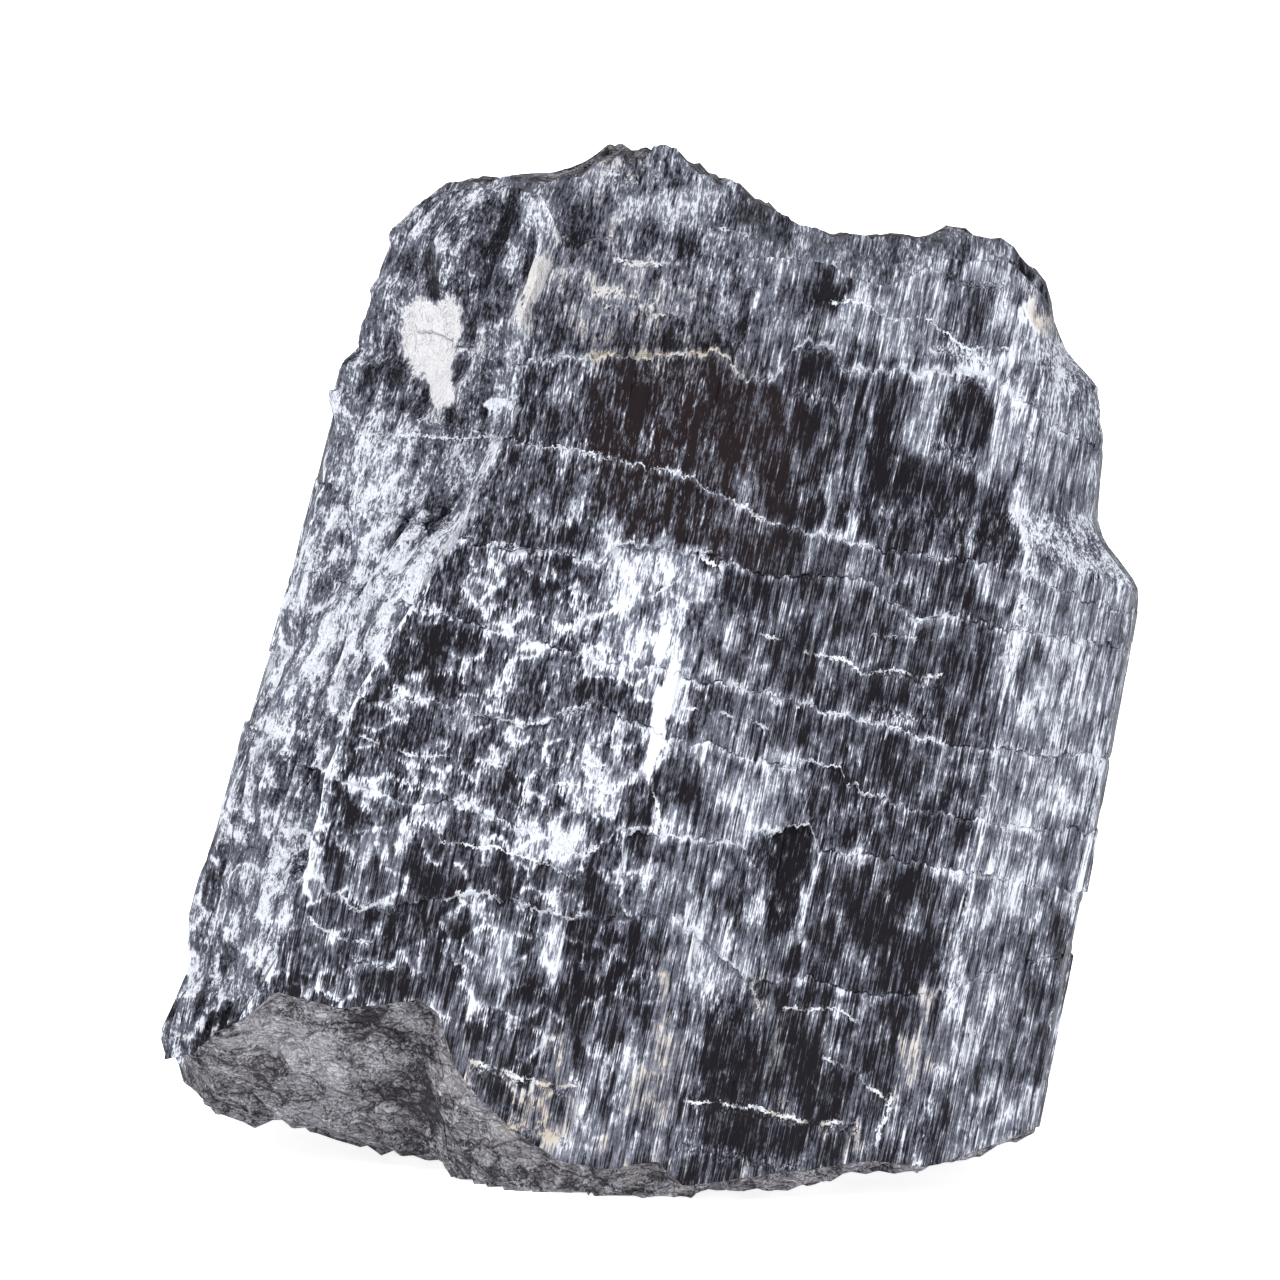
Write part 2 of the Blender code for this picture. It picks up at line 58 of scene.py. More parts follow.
# crystal frame, in millimetres: u across the broad front face, d back into the crystal, w up its long axis
crystal = {
    "leanRight": 12.0,  # degrees
    "leanBack": 5.0,
    "centreHeight": 28.9,  # crystal frame's centre above the floor
    # long edges of the prism, from the front left round to the right: bulge of the next face, (w, u, d) up
    "edges": (
        (0.1, ((-31, -20.3, -17.2), (-24.5, -19.3, -18), (-22, -18.3, -18.6), (-18.1, -17.4, -19),
         (-9.6, -17.4, -19), (-5.7, -16.8, -19), (5.4, -12.8, -19.2), (11.7, -10.7, -19),
         (18.8, -11.5, -18.6), (28, -10.3, -18.2))),
        (0.4, ((-31, -9.2, -19.2), (28, -9.2, -18.4))),
        (0.2, ((-26, 20.3, -19), (-3, 19.8, -19), (10.5, 19.3, -18.8), (12.8, 17.9, -18.5),
         (20, 18, -18.2), (23, 17.2, -18), (28, 15.8, -17.8))),
        (0.5, ((-25, 26.8, -15.8), (10.1, 25.7, -16), (12.2, 23.2, -15.6), (13.5, 22.5, -15.2),
         (18, 22.2, -15), (20.8, 21.3, -14.6), (22.8, 18.9, -14.2), (26, 17.9, -14), (28, 17.4, -14))),
        (0.7, ((-25, 26.2, 3), (9, 25.2, 3), (12.5, 22.2, 2.6), (20, 20.6, 2), (28, 18, 2))),
        (0.7, ((-26, 15.6, 16.4), (28, 13.4, 15))),
        (0.7, ((-31, -8.6, 19.4), (28, -7, 17.4))),
        (0.5, ((-31, -21.6, 6.4), (12, -20.4, 6), (14, -19.4, 6), (28, -16.4, 5.4))),
        (0.5, ((-29, -22.4, -9.6), (-27.5, -23.2, -9.2), (-23.1, -22.7, -9), (-20.3, -23.4, -9),
         (-9.3, -22.4, -9), (0.2, -21.5, -9), (9.6, -21.1, -9), (13.1, -21.2, -9), (14.1, -20.4, -8.8),
         (17.8, -20.7, -8.8), (21.2, -20.2, -8.6), (24.7, -17.7, -8.4))),
    ),
    "frontFaces": 3,  # faces that the outlines over u belong to
    # upper break: rim of the front face, crest behind it, and where its front lies
    "topRim": (
        (-20.6, 19.5), (-19.4, 22.4), (-17.7, 24), (-15.9, 24.8), (-12.2, 25), (-11, 23.5), (-10.2, 22),
        (-4.5, 22.5), (-1.7, 23.4), (1, 24.2), (4.8, 24.6), (5.8, 24.1), (8, 24.1), (11.2, 26),
        (14.5, 26.6), (16.5, 25.4), (18.9, 22.4), (21.2, 20.5), (22.2, 19),
    ),
    "topCrest": (
        (-20.6, 20), (-19.4, 23), (-17.7, 24.7), (-15.9, 25.4), (-12.2, 26), (-10.4, 27), (-9.2, 28.3),
        (-7, 28.9), (-4.4, 28.7), (-2.8, 28.3), (0, 27.2), (2.6, 26), (6, 26.3), (11, 27.9), (14.5, 27.6),
        (17.1, 26.1), (18.6, 22.9), (21.4, 20.8), (22.3, 19.2),
    ),
    "topFront": ((-20, -9), (-10.3, -18.2), (17, -17.9), (22, -15)),
    "topBevel": 5.0,
    "topRound": 0.8,
    "topFall": 0.11,
    # lower break, in the same way
    "baseRim": (
        (-23.2, -28.4), (-21.6, -27.6), (-20.2, -25.4), (-19.2, -24.8), (-17.6, -22.6), (-13.8, -22.7),
        (-9.5, -21.3), (-8.3, -21.8), (-6.8, -24.5), (-5, -26.1), (-2.9, -27.4), (0.3, -28.7),
        (2.9, -28.6), (5.7, -27.6), (7.4, -28.6), (10.9, -27.5), (13.6, -26.4), (17.8, -25),
        (20.7, -24.7), (24.6, -22.6), (26.8, -21.5),
    ),
    "baseEdge": (
        (-23.2, -29.2), (-21.8, -30.4), (-15.4, -30.4), (-8.9, -31.2), (-5.2, -31.7), (-1.8, -32),
        (4.6, -30.4), (11.2, -28), (16.6, -26.2), (20.7, -24.9), (24.6, -22.9), (26.8, -21.9),
    ),
    "baseFront": ((-22.8, -9), (-20.2, -17.3), (20.3, -19), (26.8, -15.8)),
    "baseBevel": ((-22, 7), (-8, 7), (-3, 4), (3, 1.8), (10, 1)),
    "breakCalm": 0.15,
    "breakBevel": 0.5,
    "breakReach": 6.0,
    # cross cracks from the bottom up, over the front
    "cracks": (
        ((-17.4, -15.5), (-14, -17), (-10.5, -15.6), (-7, -14.6), (-1.5, -14.9), (3.2, -13.4),
         (6.8, -15.5), (9, -16.3), (12, -15.4), (15.4, -15.8), (19, -15), (24, -12), (26.5, -11.6)),
        ((-17.4, -9.9), (-12, -10.6), (-9.5, -9.8), (-2, -11.3), (-0.5, -9.5), (5.5, -8.9), (7, -8.7),
         (7.3, -7.9), (10.4, -7.1), (11, -8.2), (19.8, -7.6), (26.4, -7.8)),
        ((-16.5, -5.2), (-10.5, -4.2), (-9, -4.8), (-6.5, -4.7), (-4.8, -3.6), (-3.4, -2.6), (0.5, -3.6),
         (4.5, -3.6), (7.5, -4.1), (9.3, -3.5), (11.2, -3.4), (11.8, -4.2), (16, -4.9), (26.2, -4.2)),
        ((-15, 0.5), (-5, -0.1), (5, -0.1), (13, -0.4), (16.5, -0.9), (26.2, 0.2)),
        ((-13.2, 4.9), (-4.5, 5.3), (-3.9, 6.5), (2.1, 7), (3.2, 6.4), (10.5, 7.3), (14, 5.7),
         (15.5, 6.4), (19.4, 6.3), (26, 6.6)),
        ((-11, 11), (-5.9, 11.2), (-1.2, 11.1), (5, 9.5), (10.8, 9.3), (18, 9.8), (22, 9), (25.7, 8.6)),
        ((-11.4, 15.3), (-8.5, 16.4), (-4.3, 17.4), (-0.5, 18.4), (1.3, 17.2), (2.8, 17.2), (3.9, 19.9),
         (5.9, 19.9), (6.4, 18.9), (15.2, 20.2), (18, 18.8), (22.1, 17.2)),
    ),
    "crackGap": 0.16,
    "sideWave": 1.6,
    "sideWaves": 6.0,
    "settleRounds": 6,
    "endGuess": 25.0,  # distance of each break from the middle, before it is worked out
    # steps at a crack: which crack, above (1) or below (-1), from u, to u, depth, reach
    "ledges": (
        (6, 1, -11.6, 1.9, 0.75, 30), (6, 1, 1.9, 16, 0.45, 30), (4, -1, -4, 2.4, 0.35, 5),
        (2, -1, -10, -3.2, 0.3, 4), (2, -1, 9.2, 14, 0.35, 4), (1, -1, 6.9, 10.7, 0.6, 6),
        (1, -1, 0.2, 1.8, 0.45, 4), (0, -1, -14.2, 3.4, 0.3, 5), (0, -1, 5.2, 10, 0.35, 3.5),
    ),
    # flakes gone from the front: sides in u, ends in w, depth
    "flakes": (
        (-8.4, -4.4, 20.2, 22.4, 0.3), (-0.1, 1, 18.9, 22.2, 0.3), (11.1, 14.9, 20.9, 25.3, 0.35),
        (12.5, 15.2, 15.4, 19.6, 0.25), (3.9, 5.9, 17, 19.8, 0.25), (11.9, 16, 0.2, 2.6, 0.25),
        (-13.9, -11, -20, -16.6, 0.25), (-6, 0.6, -27.5, -24.4, 0.35), (6.4, 16.4, -26.5, -23.5, 0.25),
    ),
    "flakeEdge": 0.3,
    "panels": (
        -17, -14.5, -12, -10, -7.6, -4.9, -3.8, -2.2, -0.1, 1.2, 2.4, 3.9, 5.3, 6.9, 9, 10.5, 11.9, 13.4,
        15, 16.8, 18.2, 19.8, 21.6, 23.9,
    ),
    "panelStep": 0.16,
    "flutePitch": 2.3,
    "fluteLength": 40.0,
    "fluteDepth": 0.16,
    "sideFluteDepth": 0.38,
    "sidePanel": 2.4,
    "firstSidePanel": 100,  # above the numbers of the front's panels
    "sideStep": 0.22,
    "scarSize": (9.0, 13.0),
    "scarDepth": 0.9,
    "scarEdge": (0.18, 0.3),
    "lumpHeight": 0.75,
    "lumpSize": 4.2,
    "lumpStretch": 1.6,
    "lumpFade": 0.3,
    # hollows in the left side: (u, w), radius along each, depth
    "hollows": (
        ((-14.9, 6.4), (2, 1.9), 1), ((-18.6, 2), (1.3, 1.5), 0.6), ((-15.6, 17), (1.2, 2.6), 0.7),
        ((-12.2, 20.4), (0.8, 2.6), 0.8), ((-21, -22.4), (1.1, 1), 0.5),
    ),
    "chipSize": 5.2,
    "chipHeight": 1.1,
    "chipCrease": 14.0,
    "chipLevel": 0.6,
    "grainSize": 2.4,
    "grainHeight": 0.35,
    # fine surface: mesh spacing in mm, rows in each stretch, rings on each break
    "columnPitch": (0.132, 0.132, 0.14, 0.34, 0.36, 0.38, 0.36, 0.3, 0.17),
    "stretchRows": (21, 12, 8, 8, 13, 9, 16, 13),
    "capRings": 18,
    "capCentre": (2.0, -1.0),
    "capSpread": 1.6,  # above 1, the rings lie closer together at the rim
    # crack lines climb in small steps from furrow to furrow: pitch, then parts of it and height
    "jagPitch": 0.46,
    "crackJags": ((1.0, 0.2), (2.2, 0.11)),
    "furrows": ((0.85, 0.055), (0.42, 0.03)),  # pitch and height of the fine upright furrows
    "blockPitch": 0.62,  # small upright flakes between the furrows
    "blockLength": 2.7,
    "blockStep": 0.05,
    "blockShift": 5.0,
    "furrowLength": 34.0,  # times its pitch
    "splinterLength": 3.2,
    "splinter": ((2.2, 0.55), (1.0, 0.36)),  # size and height of the torn left side
    "baseGrit": ((3.0, 0.8), (1.2, 0.4)),  # size and height of the small chips on each break
    "topGrit": ((2.1, 0.45), (0.9, 0.2)),
    "gritStart": 0.04,
    "floorMargin": 0.02,
    "floorSnap": 0.002,
    "grooveDepth": 0.06,
    # chips along the long edges: share, level where they start, noise sizes, seed
    "edgeWear": ((1.0, 0.05, (1.5, 3.0), 61), (0.5, 0.2, (0.6,), 62)),
    "edgeWorn": 0.7,
    "edgeDepth": 0.26,
    "edgeReach": 0.4,
    "sharpAngle": 42.0,  # degrees
}


# a fixed value from 0 to 1 for each point of an endless grid
def gridHash(i, j, k, seed):
    number = (i * 374761393 + j * 668265263 + k * 974634777 + seed * 1274126177) & 0xFFFFFFFF
    number = ((number ^ (number >> 13)) * 1103515245) & 0xFFFFFFFF
    return ((number ^ (number >> 16)) & 0xFFFFFF) / 0xFFFFFF


# number of the cell that each place lies in
def cellOf(place, size=1.0):
    return np.floor(place / size).astype(np.int64)


# a fixed value from 0 to 1 for each length of an upright strip; the cuts shift from strip to strip
def stripValue(strip, w, length, shift, turn, seed):
    return gridHash(strip, cellOf(w / length + shift * gridHash(strip, 0, 0, seed)), turn, seed)


# grid values joined by an even s-curve along each direction, from -1 to 1
def softNoise(x, y, z, seed):
    places = np.broadcast_arrays(x, y, z)
    cells = [cellOf(place) for place in places]
    shares = [(place - cell) ** 2 * (3.0 - 2.0 * (place - cell)) for place, cell in zip(places, cells)]
    total = 0.0
    for corner in range(8):
        step = (corner & 1, corner >> 1 & 1, corner >> 2)
        weight = 1.0
        for share, side in zip(shares, step):
            weight = weight * (share if side else 1.0 - share)
        total = total + weight * gridHash(*[cell + side for cell, side in zip(cells, step)], seed)
    return 2.0 * total - 1.0


# one layer of noise: its height times the soft noise of each place over its size
def layerNoise(layer, *places):
    height, sizes, seed = layer
    scaled = [place / size for place, size in zip(places, sizes)] + [0.0] * (3 - len(sizes))
    return height * softNoise(*scaled, seed)


# flat chips: each cell centre carries a sloping plane, and planes are blended by nearness
def chipNoise(x, y, seed):
    column, row = cellOf(x), cellOf(y)
    total, weights = 0.0, 0.0
    for i in (-1, 0, 1):
        for j in (-1, 0, 1):
            a, b = column + i, row + j
            dx = x - a - gridHash(a, b, 0, seed)
            dy = y - b - gridHash(a, b, 1, seed)
            slopeX, slopeY, level = (2.0 * gridHash(a, b, n, seed) - 1.0 for n in (2, 3, 4))
            weight = np.exp(-crystal["chipCrease"] * (dx * dx + dy * dy))
            total = total + weight * (crystal["chipLevel"] * level + slopeX * dx + slopeY * dy)
            weights = weights + weight
    return total / weights


# height of an outline at a place: straight between its points
def along(points, at):
    positions, values = zip(*points)
    return np.interp(at, positions, values)


# s-curve 3 s^2 - 2 s^3, where s goes from 0 at the low value to 1 at the high one
def ease(low, high, value):
    share = np.clip((value - low) / (high - low), 0.0, 1.0)
    return share * share * (3.0 - 2.0 * share)


# point on the plain prism: straight between two long edges at this height, plus a bulge of 4 s (1 - s)
def prismPoint(face, share, w):
    face, share = np.broadcast_to(face, w.shape), np.broadcast_to(share, w.shape)
    edges = crystal["edges"]
    u, d = np.zeros(w.shape), np.zeros(w.shape)
    for number in range(len(edges)):
        here = face == number
        ends = []
        for edge in (edges[number], edges[(number + 1) % len(edges)]):
            heights, across, back = zip(*edge[1])
            ends.append((np.interp(w[here], heights, across), np.interp(w[here], heights, back)))
        (u0, d0), (u1, d1) = ends
        bulge = edges[number][0] * 4.0 * share[here] * (1.0 - share[here])
        length = np.hypot(u1 - u0, d1 - d0)
        u[here] = u0 + (u1 - u0) * share[here] + bulge * (d1 - d0) / length
        d[here] = d0 + (d1 - d0) * share[here] - bulge * (u1 - u0) / length
    return u, d


# w of the floor under (u, d)
def floorLevel(u, d):
    right, back = math.radians(crystal["leanRight"]), math.radians(crystal["leanBack"])
    rise = d * math.sin(back) + u * math.sin(right) * math.cos(back)
    return (rise - crystal["centreHeight"]) / (math.cos(right) * math.cos(back))


# roughness of a break: calm at the rim and the crest, strong behind the crest
def breakRoughness(u, d, behind, bevel, seed):
    alongBevel = np.clip(behind / bevel, 0.0, 1.0)
    strength = crystal["breakCalm"] + crystal["breakBevel"] * 4.0 * alongBevel * (1.0 - alongBevel)
    strength = strength + (1.0 - crystal["breakCalm"]) * ease(bevel, bevel + crystal["breakReach"], behind)
    rough = crystal["chipHeight"] * chipNoise(u / crystal["chipSize"], d / crystal["chipSize"], seed)
    rough = rough + layerNoise((crystal["grainHeight"], (crystal["grainSize"],) * 2, seed + 1), u, d)
    return rough * strength


# w of the upper break: bevel from rim to crest, then a rough fall to the back
def topLevel(u, d):
    behind = np.maximum(d - along(crystal["topFront"], u), 0.0)
    bevel = np.clip(behind / crystal["topBevel"], 0.0, 1.0) ** crystal["topRound"]
    rim = along(crystal["topRim"], u)
    fall = crystal["topFall"] * np.maximum(behind - crystal["topBevel"], 0.0)
    rough = breakRoughness(u, d, behind, crystal["topBevel"], 11)
    return rim + (along(crystal["topCrest"], u) - rim) * bevel - fall + rough


# w of the lower break: bevel from rim to lower edge, rough behind it, and never below the floor
def baseLevel(u, d):
    behind = np.maximum(d - along(crystal["baseFront"], u), 0.0)
    reach = along(crystal["baseBevel"], u)
    bevel = np.clip(behind / reach, 0.0, 1.0)
    rim = along(crystal["baseRim"], u)
    level = rim + (along(crystal["baseEdge"], u) - rim) * bevel + breakRoughness(u, d, behind, reach, 21)
    return np.maximum(level, floorLevel(u, d))


# w at which each column meets a level given over u and d, found by going back and forth between them
def settle(face, share, level, start):
    w = np.full(face.shape, start)
    for _ in range(crystal["settleRounds"]):
        w = level(*prismPoint(face, share, w))
    return w


# w of a cross crack in each column: its outline over the front, a wandering line round the back, small steps
def crackLevel(face, share, across, crack, seed):
    front = settle(face, share, lambda u, d: along(crack, u), 0.0)
    left, right = crack[0][1], crack[-1][1]
    frontFaces, faces = crystal["frontFaces"], len(crystal["edges"])
    roundBack = np.clip((face + share - frontFaces) / (faces - frontFaces), 0.0, 1.0)
    wave = softNoise(crystal["sideWaves"] * roundBack, 0.0, 0.0, 31)
    wave = crystal["sideWave"] * np.sin(math.pi * roundBack) * wave
    level = np.where(face < frontFaces, front, right + (left - right) * roundBack + wave)
    for parts, height in crystal["crackJags"]:
        step = cellOf(across, crystal["jagPitch"] / parts)
        level = level + height * (2.0 * gridHash(step, 0, 0, seed) - 1.0)
    return level


# heights of the mesh rows, closer at each crack, and the stretch between cracks that each row is in
def sideRows(face, share, across):
    lines = [settle(face, share, baseLevel, -crystal["endGuess"])]
    for number, crack in enumerate(crystal["cracks"]):
        lines.append(crackLevel(face, share, across, crack, 70 + number))
    lines.append(settle(face, share, topLevel, crystal["endGuess"]))
    heights, stretches, grooves = [], [], []
    for number, rows in enumerate(crystal["stretchRows"]):
        low, high = lines[number], lines[number + 1]
        if number:
            heights.append(low)
            stretches.append(number - 1)
            grooves.append(1.0)
            low = low + crystal["crackGap"] / 2.0
        if number + 1 < len(crystal["stretchRows"]):
            high = high - crystal["crackGap"] / 2.0
        heights += [low + (high - low) * row / rows for row in range(rows + 1)]
        stretches += [number] * (rows + 1)
        grooves += [0.0] * (rows + 1)
    return np.array(heights), np.array(stretches)[:, None], np.array(grooves)[:, None], lines


# where flakes are gone from the sides and back: an s-curve over broad noise
def scarShare(around, w):
    return ease(*crystal["scarEdge"], layerNoise((1.0, crystal["scarSize"], 46), around, w))


# depth gone from the front at the ledges and the flakes
def frontLoss(across, w, cracks):
    loss = 0.0
    for crack, way, start, end, depth, reach in crystal["ledges"]:
        off = way * (w - cracks[crack])
        inside = (off > 0.0) & (across > start) & (across < end)
        loss = loss + np.where(inside, depth * np.clip(1.0 - off / reach, 0.0, 1.0), 0.0)
    edge = crystal["flakeEdge"]
    for lowU, highU, lowW, highW, depth in crystal["flakes"]:
        gone = ease(lowU, lowU + edge, across) * ease(lowW, lowW + edge, w)
        loss = loss + depth * gone * ease(-highU, edge - highU, -across) * ease(-highW, edge - highW, -w)
    return loss


# how far the surface stands out from the plain prism, as in the solid
def broadRelief(face, share, around, w, u, d, stretch, cracks):
    front = face < crystal["frontFaces"]
    left = face == len(crystal["edges"]) - 1
    across = np.where(front, u, around)
    sidePanel = crystal["firstSidePanel"] + cellOf(around, crystal["sidePanel"])
    panel = np.where(front, np.searchsorted(crystal["panels"], across), sidePanel)
    level = 2.0 * gridHash(panel, stretch, 0, 41) - 1.0
    flute = softNoise(across / crystal["flutePitch"], w / crystal["fluteLength"], 0.0, 42)
    scar = crystal["scarDepth"] * scarShare(around, w)
    side = crystal["sideStep"] * level + crystal["sideFluteDepth"] * flute - scar
    out = np.where(front, crystal["panelStep"] * level + crystal["fluteDepth"] * flute, side)
    out = out - np.where(front, frontLoss(across, w, cracks), 0.0)
    size, long = crystal["lumpSize"], crystal["lumpStretch"] * crystal["lumpSize"]
    lumps = softNoise(u / size, d / size, w / long, 44)
    lumps = lumps + 0.5 * softNoise(2.0 * u / size, 2.0 * d / size, w / size, 45)
    lumps = lumps * np.where(left, ease(0.0, crystal["lumpFade"], 1.0 - share), 0.0)
    out = out + crystal["lumpHeight"] * lumps
    for (atU, atW), (wide, high), depth in crystal["hollows"]:
        away = ((u - atU) / wide) ** 2 + ((w - atW) / high) ** 2
        out = out - np.where(left | (face == 0), depth * np.exp(-away), 0.0)
    return out


# fine furrows, small flakes between them, and splinters where the side is torn: 1 - 2 |noise|
def fineRelief(face, around, w, u, d, torn):
    across = np.where(face < crystal["frontFaces"], u, around)
    smooth = 0.0
    for number, (pitch, height) in enumerate(crystal["furrows"]):
        sizes = (pitch, crystal["furrowLength"] * pitch)
        smooth = smooth + layerNoise((height, sizes, 51 + number), across, w)
    block = cellOf(across, crystal["blockPitch"])
    flake = stripValue(block, w, crystal["blockLength"], crystal["blockShift"], 1, 53)
    smooth = smooth + crystal["blockStep"] * (2.0 * flake - 1.0)
    splinters = 0.0
    for number, (size, height) in enumerate(crystal["splinter"]):
        sizes = (size, size, crystal["splinterLength"] * size)
        sliver = 1.0 - 2.0 * np.abs(layerNoise((1.0, sizes, 55 + number), around, d, w))
        splinters = splinters + height * sliver
    return smooth * (1.0 - torn) + splinters * torn


# unit vectors square to each row of points, from the difference of its neighbours
def outward(u, d):
    du = np.roll(u, -1, axis=1) - np.roll(u, 1, axis=1)
    dd = np.roll(d, -1, axis=1) - np.roll(d, 1, axis=1)
    length = np.hypot(du, dd)
    return dd / length, -du / length


# small chips on a break, none at its rim
def gritHeight(u, d, inward, chips, seed):
    grit = 0.0
    for number, (size, height) in enumerate(chips):
        grit = grit + height * chipNoise(u / size, d / size, seed + number)
    return grit * ease(0.0, crystal["gritStart"], inward)


# rings from a rim in to the middle of a break, each point at the break's own level and never below the floor
def closeEnd(u, d, level, chips, seed):
    rings = []
    centreU, centreD = crystal["capCentre"]
    for ring in range(1, crystal["capRings"]):
        share = (ring / crystal["capRings"]) ** crystal["capSpread"]
        ringU, ringD = u + (centreU - u) * share, d + (centreD - d) * share
        plain, floor = level(ringU, ringD), floorLevel(ringU, ringD)
        chipped = np.maximum(plain + gritHeight(ringU, ringD, share, chips, seed), floor)
        ringW = np.where(plain <= floor + crystal["floorMargin"], floor, chipped)
        rings.append(np.stack((ringU, ringD, ringW), axis=1))
    middle = level(np.array([centreU]), np.array([centreD]))[0]
    return rings, np.array([centreU, centreD, middle])


# face number, share across the face, way round the crystal and gap to the nearest long edge of each column;
# the low edge between the first two faces isn't counted, so that no chips follow it
def spreadColumns():
    edges = crystal["edges"]
    corners = [[along([(p[0], p[n]) for p in edge[1]], 0.0) for n in (1, 2)] for edge in edges]
    faces, shares, arounds, gaps = [], [], [], []
    distance = 0.0
    for number, corner in enumerate(corners):
        width = math.dist(corner, corners[(number + 1) % len(edges)])
        count = round(width / crystal["columnPitch"][number])
        share = np.arange(count) / count
        faces.append(np.full(count, number))
        shares.append(share)
        arounds.append(distance + width * share)
        fromStart = width * share if number != 1 else np.full(count, width)
        fromEnd = width * (1.0 - share) if number != 0 else np.full(count, width)
        gaps.append(np.minimum(fromStart, fromEnd))
        distance += width
    return tuple(np.concatenate(parts) for parts in (faces, shares, arounds, gaps))


# crystal millimetres to world metres: lean right about Y, lean back about X, then lift
def standUp(points):
    right, back = math.radians(crystal["leanRight"]), math.radians(crystal["leanBack"])
    u, d, w = points.T
    x = u * math.cos(right) + w * math.sin(right)
    rise = w * math.cos(right) - u * math.sin(right)
    y = d * math.cos(back) + rise * math.sin(back)
    z = rise * math.cos(back) - d * math.sin(back) + crystal["centreHeight"]
    return np.stack((x, y, np.where(z < crystal["floorSnap"], 0.0, z)), axis=1) * 0.001


# loose flakes along the long edges: worn by noise, and deepest on the edge itself
def edgeChips(edgeGap, w):
    worn = 0.0
    for share, start, sizes, seed in crystal["edgeWear"]:
        worn = worn + share * ease(start, crystal["edgeWorn"], layerNoise((1.0, sizes, seed), w, edgeGap))
    return crystal["edgeDepth"] * worn * np.exp(-(edgeGap / crystal["edgeReach"]) ** 2)


